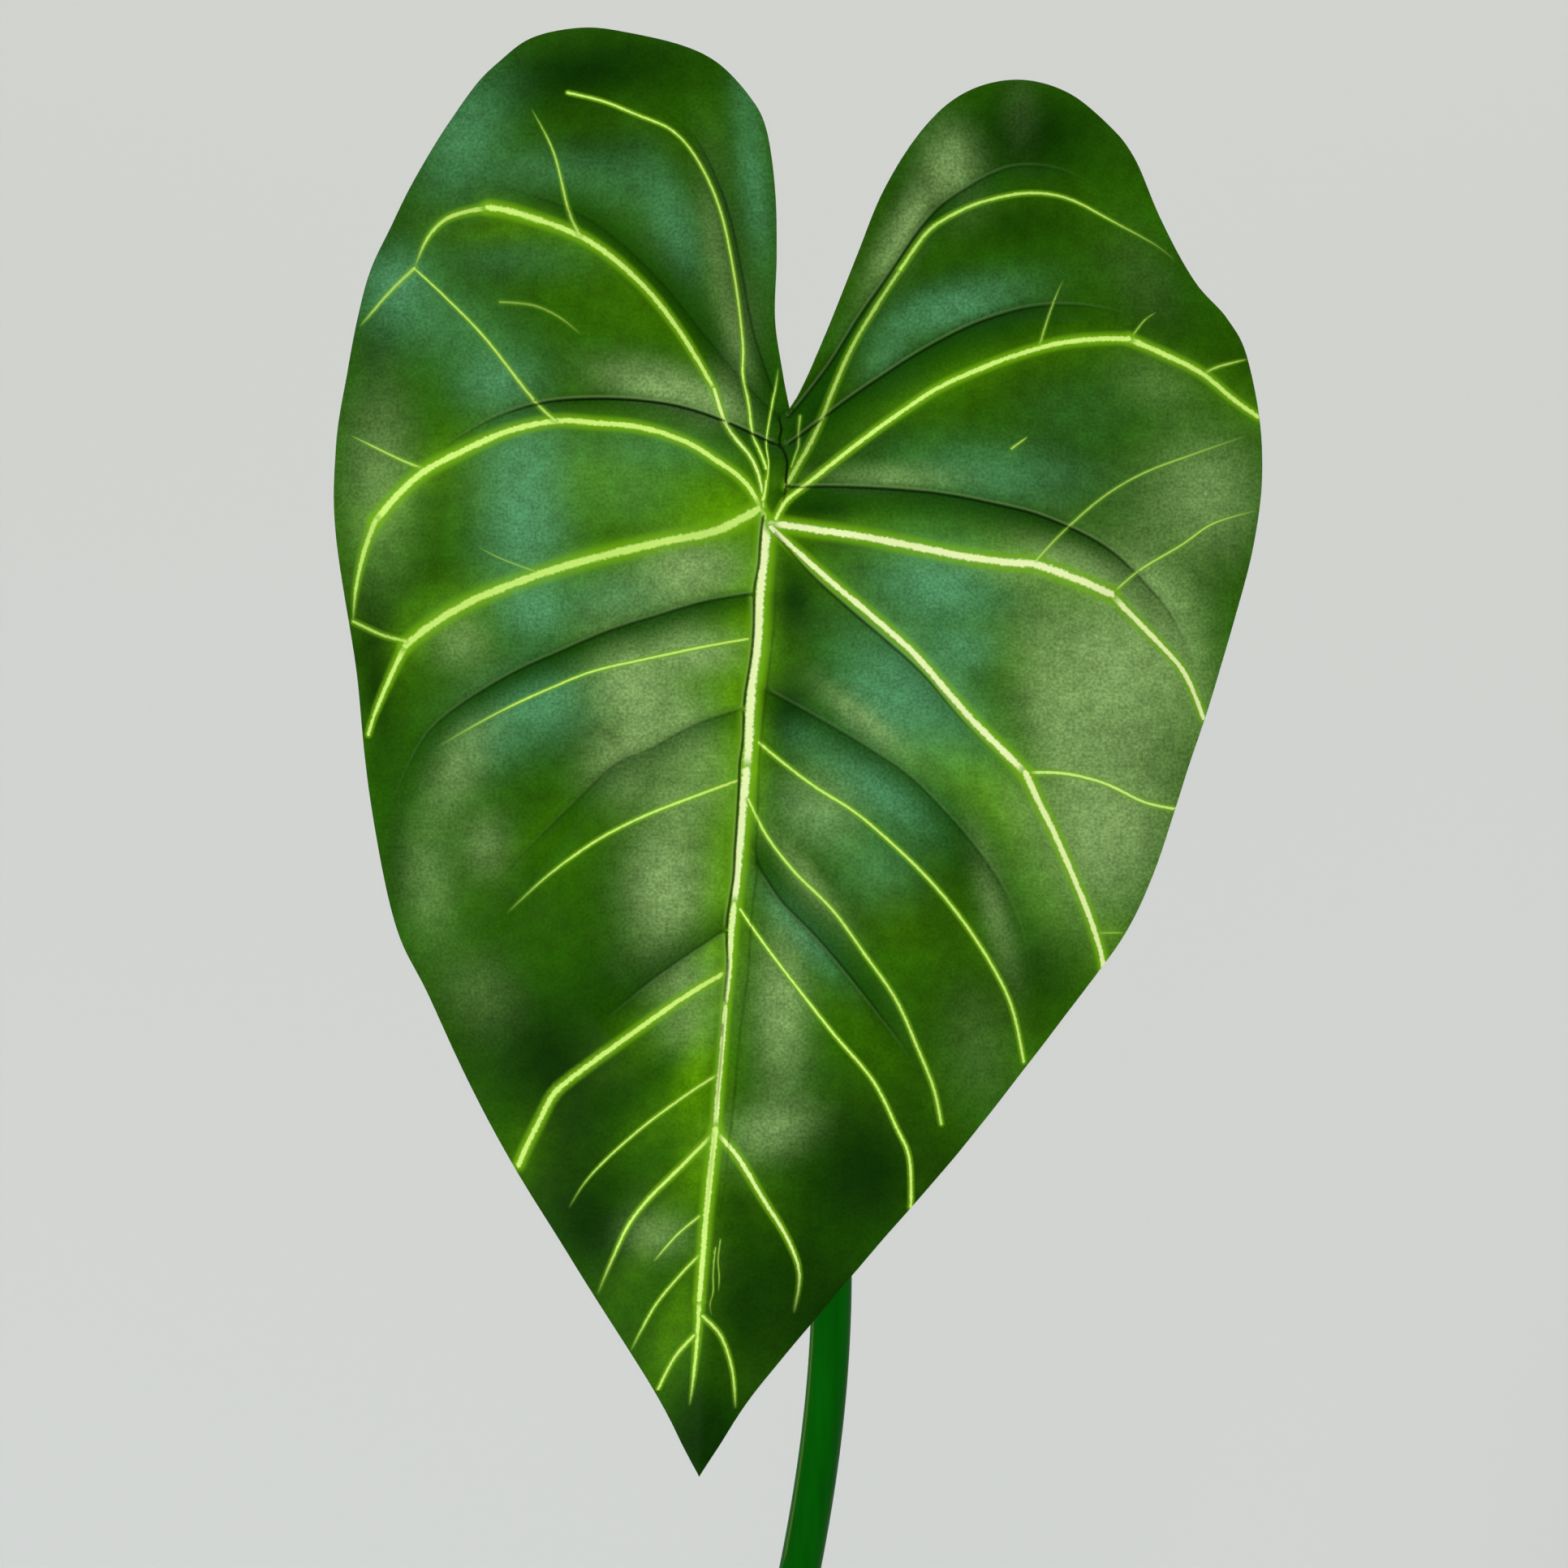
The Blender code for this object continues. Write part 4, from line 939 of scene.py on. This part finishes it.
def mark_parting(obj):
    """Writes 1 where the section's ridges run below the neck: the points that stand furthest from the line."""
    line = np.array(stem_line(STEM_STEPS))
    points = np.array([v.co for v in obj.data.vertices])
    nearest = np.array([np.argmin(np.abs(line[:, 2] - p[2])) for p in points])
    outwards = np.linalg.norm(points[:, :2] - line[nearest, :2], axis=1)
    run = np.linspace(FOOT_DIAMETER / 2, TOP_DIAMETER / 2, len(line))
    marked = ((outwards > run[nearest] * STANDS_OUT) & (points[:, 2] < neck_foot)).astype(np.float32)
    obj.data.attributes.new("parting", "FLOAT", "POINT").data.foreach_set("value", marked)
    print("parting points", int(marked.sum()))


mark_parting(stem)
stem.data.materials.append(moulded_green_material("moulded_polyethylene_stem"))
finish_piece(stem, "stem_plastic", "stem_sleeve")

# %% [markdown]
# ## Turned pieces
# A turned shape starts as one round rim. Each step extrudes it, then scales and lifts the new rim, as on a potter's
# wheel, and the ends are filled. Corners are rounded by a few rims along a small arc.

# %% Turn a piece from a rim
def arc_rims(centre_radius, centre_height, radius, start, end, steps=5):
    """Rims along an arc round (centre_radius, centre_height), its angles in degrees from straight outwards."""
    angles = [radians(start + (end - start) * i / steps) for i in range(steps + 1)]
    return [(centre_radius + radius * cos(a), centre_height + radius * sin(a)) for a in angles]


def turned(name, rims, sides=128):
    """Turns (radius, height) rims. Both ends are filled, unless the last rim is the first again, as on a ring."""
    (first_radius, first_height), *others = rims
    bpy.ops.mesh.primitive_circle_add(vertices=sides, radius=first_radius, fill_type="NOTHING",
                                      location=(0, 0, first_height))
    obj = bpy.context.object
    obj.name = name
    bpy.ops.object.transform_apply(location=True)
    bpy.ops.object.mode_set(mode="EDIT")
    bpy.ops.mesh.select_all(action="SELECT")
    before_radius, before_height = first_radius, first_height
    for radius, height in others:
        bpy.ops.mesh.extrude_region_move(TRANSFORM_OT_translate={"value": (0, 0, height - before_height)})
        bpy.ops.transform.resize(value=(radius / before_radius, radius / before_radius, 1),
                                 center_override=(0, 0, height))
        before_radius, before_height = radius, height
    if rims[-1] != rims[0]:
        bpy.ops.mesh.select_all(action="SELECT")
        bpy.ops.mesh.fill_holes(sides=0)
    bpy.ops.object.mode_set(mode="OBJECT")
    tidy_mesh(obj, 30)
    print(name, "turned through", len(rims), "rims")
    return obj


# %% [markdown]
# ## The pot
# A plain nursery pot is injection-moulded polypropylene: thin tapered walls, a thicker collar round the rim that is
# rounded over, and a base that stands on a low ring so that it doesn't rock. Its outer sizes come from the CAD pot.

# %% Turn the pot
_, pot_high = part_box("pot")
WALL = 3 * MM
FLOOR = 5 * MM
COLLAR_STEP = 3 * MM
COLLAR_HEIGHT = 18 * MM
rim_radius = pot_high.x
pot_top = pot_high.z
base_radius = 60 * MM
wall_top = rim_radius - COLLAR_STEP


def wall_at(height):
    return base_radius + (wall_top - base_radius) * height / pot_top


collar_bottom = pot_top - COLLAR_HEIGHT
pot_rims = ([(base_radius * 0.80, 1.2 * MM), (base_radius * 0.84, 1.2 * MM), (base_radius * 0.86, 0.0)]
            + arc_rims(base_radius - 1.5 * MM, 1.5 * MM, 1.5 * MM, -90, 0)
            + [(wall_at(h), h) for h in np.linspace(3 * MM, collar_bottom - 1.2 * MM, 10)]
            + arc_rims(wall_at(collar_bottom) + 1.0 * MM, collar_bottom - 1.0 * MM, 1.0 * MM, 180, 90, 4)
            + arc_rims(rim_radius - 1.4 * MM, collar_bottom + 1.4 * MM, 1.4 * MM, -90, 0)
            + arc_rims(rim_radius - 1.4 * MM, pot_top - 1.4 * MM, 1.4 * MM, 0, 90)
            + arc_rims(wall_top - WALL + 1.4 * MM, pot_top - 1.4 * MM, 1.4 * MM, 90, 180)
            + [(wall_at(h) - WALL, h) for h in np.linspace(pot_top - 6 * MM, FLOOR + 3 * MM, 6)]
            + arc_rims(wall_at(FLOOR) - WALL - 2 * MM, FLOOR + 2 * MM, 2 * MM, 0, -90))
pot = turned("pot_moulded", pot_rims)
print("pot", [round(v, 4) for v in pot.dimensions])

# %% [markdown]
# ## The pot's plastic
# The pot is dark grey polypropylene from a matt, slightly textured mould, so it gives a broad soft highlight. The
# collar's edge is rubbed smoother and a little paler by pots being stacked in one another.

# %% The moulded pot material
def pot_material():
    material, tree, shader = new_material("moulded_polypropylene_pot", Roughness=0.55, IOR=1.49)
    place = add(tree, "ShaderNodeTexCoord")
    texture = add(tree, "ShaderNodeTexNoise", {"Vector": (place, "Object"), "Scale": 1 / (0.9 * MM), "Detail": 2.0})
    clouds = add(tree, "ShaderNodeTexNoise", {"Vector": (place, "Object"), "Scale": 1 / (45 * MM), "Detail": 4.0})
    tone = add(tree, "ShaderNodeMapRange", {"Value": (clouds, "Fac"), "From Min": 0.35, "From Max": 0.65})
    grey = add(tree, "ShaderNodeMix", {"Factor": (tone, 0), "A": linear("34373a"), "B": linear("3e4144")},
               data_type="RGBA")
    height = add(tree, "ShaderNodeSeparateXYZ", {0: (place, "Object")})
    near_rim = add(tree, "ShaderNodeMapRange", {"Value": (height, "Z"), "From Min": pot_top - 2.5 * MM,
                                                "From Max": pot_top})
    scuffs = add(tree, "ShaderNodeTexNoise", {"Vector": (place, "Object"), "Scale": 1 / (6 * MM), "Detail": 5.0})
    patchy = add(tree, "ShaderNodeMapRange", {"Value": (scuffs, "Fac"), "From Min": 0.45, "From Max": 0.65})
    worn = add(tree, "ShaderNodeMath", {0: (near_rim, 0), 1: (patchy, 0)}, operation="MULTIPLY")
    colour = add(tree, "ShaderNodeMix", {"Factor": (worn, 0), "A": (grey, "Result"), "B": linear("5a5e61")},
                 data_type="RGBA")
    join(tree, colour, "Result", shader, "Base Color")
    gloss = add(tree, "ShaderNodeMapRange", {"Value": (worn, 0), "To Min": 0.56, "To Max": 0.4})
    join(tree, gloss, 0, shader, "Roughness")
    bump = add(tree, "ShaderNodeBump", {"Height": (texture, "Fac"), "Strength": 0.4, "Distance": 0.06 * MM})
    join(tree, bump, "Normal", shader, "Normal")
    return material


pot.data.materials.append(pot_material())
finish_piece(pot, "pot_plastic", "pot")

# %% [markdown]
# ## The socket behind the leaf
# A moulded cap: a round plate glued to the back of the sheet, and a short sleeve that the stem's end is pushed
# into. It is turned along the leaf's own z, from the plate's glued face down to the sleeve's mouth and up its bore.

# %% Turn the socket
PLATE_THICKNESS = 1.5 * MM
SLEEVE_WALL = 1.8 * MM
FILLET = 1.6 * MM
glued_face = -SHEET - GLUE_GAP
plate_back = glued_face - PLATE_THICKNESS
bore = TOP_DIAMETER / 2 + 1.5 * GLUE_GAP
sleeve = bore + SLEEVE_WALL
sleeve_mouth = plate_back - SOCKET_LENGTH
socket_rims = ([(plate_radius * 0.9, glued_face)]
               + arc_rims(plate_radius - 0.4 * MM, glued_face - 0.4 * MM, 0.4 * MM, 90, 0, 3)
               + arc_rims(plate_radius - 0.4 * MM, plate_back + 0.4 * MM, 0.4 * MM, 0, -90, 3)
               + arc_rims(sleeve + FILLET, plate_back - FILLET, FILLET, 90, 180, 5)
               + arc_rims(sleeve - 0.6 * MM, sleeve_mouth + 0.6 * MM, 0.6 * MM, 0, -90, 4)
               + arc_rims(bore + 0.6 * MM, sleeve_mouth + 0.6 * MM, 0.6 * MM, -90, -180, 4)
               + [(bore, plate_back - 0.1 * MM)])
socket = turned("leaf_socket_moulded", socket_rims, sides=72)
socket.matrix_world = leaf_to_world
socket.data.materials.append(moulded_green_material("moulded_polyethylene_socket", parting=False))
finish_piece(socket, "stem_plastic", "leaf_socket")

# %% [markdown]
# ## The rib behind the midrib
# A thin moulded rib is glued behind the midrib's crease and keeps the leaf from folding. It follows the underside
# of the sheet just made, a glue's thickness away, and tapers towards the tip.

# %% Sweep the rib
RIB_START_DIAMETER = 3.0 * MM
RIB_END_DIAMETER = 1.4 * MM
RIB_GAP = 0.45
RIB_LINE = [(-0.4, -2), (-4.4, -50), (-9.6, -104), (-13.4, -151), (-16.6, -192)]


def rib_path():
    line = smooth_line(RIB_LINE, 3.0)
    line = line[np.linalg.norm(line, axis=1) > (plate_radius + RIB_START_DIAMETER) / MM]
    radius = RIB_START_DIAMETER / 2 / MM
    beside = [line + (across * radius, 0) for across in (-1.5, -0.75, 0, 0.75, 1.5)]
    lowest = np.min([sheet_height(points)[0] for points in beside], axis=0)
    under = lowest - SHEET / MM * 1.2 - RIB_GAP - radius
    return [leaf_to_world @ Vector((x * MM, y * MM, z * MM)) for (x, y), z in zip(line, under)]


rib = sweep("back_rib_moulded", rib_path(), RIB_START_DIAMETER / 2, RIB_END_DIAMETER / 2,
            parted_section(0.06, 0.2, 20))
rib.data.materials.append(moulded_green_material("moulded_polyethylene_rib", parting=False))
finish_piece(rib, "stem_plastic", "back_rib")

# %% [markdown]
# ## The dressing on the pot
# The pot is filled with cement, and a layer of dark bark chips is glued over it to look like soil. The layer is
# turned like the pot, round the stem, and its top is roughened. Chips of bark then lie all over it: each is a
# squashed, roughened solid of twenty faces, turned at random, and all of them are one mesh.

# %% Turn and roughen the dressing, then strew the chips
SEED = 11
CHIP_COUNT = 900
CHIP_SIZE = (2.2 * MM, 6.5 * MM)
WALL_GAP = 0.4 * MM
dressing_bottom = dressing_low.z
stem_hole = FOOT_DIAMETER / 2 + 1.2 * MM


def dome_at(radius):
    outer = wall_at(dressing_top) - WALL
    return dressing_top + DRESSING_DOME * (1 - (radius / outer)**2)


wall_inside = wall_at(dressing_top) - WALL - WALL_GAP
bottom_inside = wall_at(dressing_bottom) - WALL - WALL_GAP
rings = [stem_hole + (wall_inside - stem_hole) * i / 44 for i in range(45)]
dressing = turned("dressing_bark", [(stem_hole, dressing_bottom), (bottom_inside, dressing_bottom)]
                  + [(radius, dome_at(radius)) for radius in reversed(rings)] + [(stem_hole, dressing_bottom)])
for vertex in dressing.data.vertices:
    from_axis = sqrt(vertex.co.x**2 + vertex.co.y**2)
    if vertex.co.z > dressing_bottom + 1 * MM and from_axis < wall_inside - 0.5 * MM:
        vertex.co.z += 0.9 * MM * noise.fractal(vertex.co / (5 * MM), 0.8, 2.2, 4)
print("dressing top", round(dome_at(stem_hole), 4))


def chip_shape(random):
    """One chip's corners and faces, about 1 across."""
    solid = bmesh.new()
    bmesh.ops.create_icosphere(solid, subdivisions=1, radius=0.5)
    for vertex in solid.verts:
        vertex.co *= random.uniform(0.72, 1.15)
    return solid


def strew_chips():
    random = Random(SEED)
    everything = bmesh.new()
    shade = everything.verts.layers.float.new("shade")
    for _ in range(CHIP_COUNT):
        radius = sqrt(random.uniform((stem_hole / wall_inside)**2, 1)) * (wall_inside - 2.5 * MM)
        radius = max(radius, stem_hole + 2.0 * MM)
        around = random.uniform(0, 2 * pi)
        length = random.uniform(*CHIP_SIZE)
        wide = length * random.uniform(0.45, 0.8)
        thick = length * random.uniform(0.18, 0.4)
        place = Vector((radius * cos(around), radius * sin(around), dome_at(radius) + thick * 0.35))
        turn = (Matrix.Rotation(random.uniform(0, 2 * pi), 4, "Z")
                @ Matrix.Rotation(random.gauss(0, 0.3), 4, "X") @ Matrix.Rotation(random.gauss(0, 0.3), 4, "Y"))
        size = Matrix.Diagonal((length, wide, thick, 1))
        chip = chip_shape(random)
        chip.transform(Matrix.Translation(place) @ turn @ size)
        tone = random.random()
        made = {v: everything.verts.new(v.co) for v in chip.verts}
        for vertex in made.values():
            vertex[shade] = tone
        for face in chip.faces:
            everything.faces.new([made[v] for v in face.verts])
        chip.free()
    mesh = bpy.data.meshes.new("bark_chips")
    everything.to_mesh(mesh)
    everything.free()
    chips = bpy.data.objects.new("bark_chips", mesh)
    bpy.context.scene.collection.objects.link(chips)
    return chips


chips = strew_chips()
print("chips", CHIP_COUNT)

# %% [markdown]
# ## Bark, cement and steel
# The bark is pine, dyed nearly black: dry and matt, and each chip a slightly different brown. The cement under it
# is grey and full of sand, and the stem's wire is drawn mild steel, with fine lines along it.

# %% The hidden and the strewn materials
def bark_material(name, per_chip):
    material, tree, shader = new_material(name, Roughness=0.88, IOR=1.5)
    place = add(tree, "ShaderNodeTexCoord")
    grain = add(tree, "ShaderNodeTexNoise", {"Vector": (place, "Object"), "Scale": 1 / (1.6 * MM), "Detail": 5.0,
                                             "Roughness": 0.65})
    if per_chip:
        tone = add(tree, "ShaderNodeAttribute", attribute_name="shade")
    else:
        tone = add(tree, "ShaderNodeTexNoise", {"Vector": (place, "Object"), "Scale": 1 / (5 * MM), "Detail": 3.0})
    brown = add(tree, "ShaderNodeMix", {"Factor": (tone, "Fac"), "A": linear("1f1712"), "B": linear("4a3627")},
                data_type="RGBA")
    speck = add(tree, "ShaderNodeMapRange", {"Value": (grain, "Fac"), "From Min": 0.3, "From Max": 0.7,
                                             "To Min": 0.6, "To Max": 1.3})
    colour = add(tree, "ShaderNodeVectorMath", {0: (brown, "Result"), 1: (speck, "Result")}, operation="MULTIPLY")
    join(tree, colour, 0, shader, "Base Color")
    bump = add(tree, "ShaderNodeBump", {"Height": (grain, "Fac"), "Strength": 0.7, "Distance": 0.4 * MM})
    join(tree, bump, "Normal", shader, "Normal")
    return material


def cement_material():
    material, tree, shader = new_material("cast_cement", Roughness=0.9, IOR=1.5)
    place = add(tree, "ShaderNodeTexCoord")
    sand = add(tree, "ShaderNodeTexNoise", {"Vector": (place, "Object"), "Scale": 1 / (1.2 * MM), "Detail": 6.0})
    colour = add(tree, "ShaderNodeMix", {"Factor": (sand, "Fac"), "A": linear("6f6d68"), "B": linear("a5a39c")},
                 data_type="RGBA")
    join(tree, colour, "Result", shader, "Base Color")
    bump = add(tree, "ShaderNodeBump", {"Height": (sand, "Fac"), "Strength": 0.6, "Distance": 0.2 * MM})
    join(tree, bump, "Normal", shader, "Normal")
    return material


def steel_material():
    material, tree, shader = new_material("drawn_mild_steel", Metallic=1.0, Roughness=0.35)
    place = add(tree, "ShaderNodeTexCoord")
    stretch = add(tree, "ShaderNodeMapping", {"Vector": (place, "Object"), "Scale": (1, 1, 0.03)})
    lines = add(tree, "ShaderNodeTexNoise", {"Vector": (stretch, "Vector"), "Scale": 1 / (0.3 * MM), "Detail": 3.0})
    colour = add(tree, "ShaderNodeMix", {"Factor": (lines, "Fac"), "A": linear("8c8d8f"), "B": linear("b7b8ba")},
                 data_type="RGBA")
    join(tree, colour, "Result", shader, "Base Color")
    gloss = add(tree, "ShaderNodeMapRange", {"Value": (lines, "Fac"), "To Min": 0.28, "To Max": 0.42})
    join(tree, gloss, 0, shader, "Roughness")
    return material


dressing.data.materials.append(bark_material("dyed_bark_bed", per_chip=False))
finish_piece(dressing, "dark_dressing", "dressing")
chips.data.materials.append(bark_material("dyed_bark_chips", per_chip=True))
finish_piece(chips, "dark_dressing")
for node, material in (("filler", cement_material()), ("stem_wire", steel_material())):
    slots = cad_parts[node].data.materials
    slots.clear()
    slots.append(material)
    print(node, "keeps its CAD shape in", material.name)

# %% [markdown]
# ## The floor and the light
# A pale plain floor runs out to the horizon, with no wall near. The room is a studio with pale walls up to eye
# height, a dim zone over them, and a broad softbox overhead, a little behind the plant so that it isn't mirrored in
# the leaf. One soft lamp stands low in front, so it lights the upper side of every crease, and a cooler one high on
# the left fills in the shade.

# %% Lay the floor, light the room and set the lamps
FLOOR_SIZE = 60
FLOOR_DROP = 0.2 * MM
WALL_LIGHT = 0.78
DIM_LIGHT = 0.15
CEILING_LIGHT = 3.6
SOFTBOX_DIRECTION = (0, 0.45, 0.893)
bpy.ops.mesh.primitive_plane_add(size=FLOOR_SIZE, location=(0, 0, -FLOOR_DROP))
floor = bpy.context.object
floor.name = "floor"
floor_material, _, floor_shader = new_material("painted_board", Roughness=0.8)
floor_shader.inputs["Base Color"].default_value = linear("b5b8b8")
floor.data.materials.append(floor_material)


def light_the_room():
    world = bpy.data.worlds.new("studio")
    bpy.context.scene.world = world
    world.use_nodes = True
    tree = world.node_tree
    direction = add(tree, "ShaderNodeTexCoord")
    parts = add(tree, "ShaderNodeSeparateXYZ", {0: (direction, "Generated")})
    wall = add(tree, "ShaderNodeMapRange", {"Value": (parts, "Z"), "From Min": 0.10, "From Max": 0.45,
                                            "To Min": WALL_LIGHT, "To Max": DIM_LIGHT},
               interpolation_type="SMOOTHSTEP")
    towards = add(tree, "ShaderNodeVectorMath", {0: (direction, "Generated"), 1: SOFTBOX_DIRECTION},
                  operation="DOT_PRODUCT")
    ceiling = add(tree, "ShaderNodeMapRange", {"Value": (towards, "Value"), "From Min": 0.74, "From Max": 0.9},
                  interpolation_type="SMOOTHSTEP")
    strength = add(tree, "ShaderNodeMath", {0: (ceiling, 0), 1: CEILING_LIGHT, 2: (wall, 0)},
                   operation="MULTIPLY_ADD")
    colour = add(tree, "ShaderNodeMix", {"Factor": (ceiling, 0), "A": linear("fdfdf8"), "B": linear("fffdf8")},
                 data_type="RGBA")
    background = tree.nodes["Background"]
    join(tree, colour, "Result", background, "Color")
    join(tree, strength, 0, background, "Strength")


def area_lamp(name, place, size, watts, colour):
    data = bpy.data.lights.new(name, "AREA")
    data.shape = "DISK"
    data.size = size
    data.energy = watts
    data.color = linear(colour)[:3]
    lamp = bpy.data.objects.new(name, data)
    bpy.context.scene.collection.objects.link(lamp)
    lamp.location = place
    lamp.rotation_euler = (junction - Vector(place)).to_track_quat("-Z", "Y").to_euler()
    print(name, "at", place)


light_the_room()
area_lamp("key_lamp", (-0.5, -2.2, 0.22), 0.4, 18.5, "fffaf0")
area_lamp("cool_lamp", (-1.5, -1.5, 2.0), 0.7, 17, "cfe4ff")
bpy.context.scene.view_settings.view_transform = "Standard"
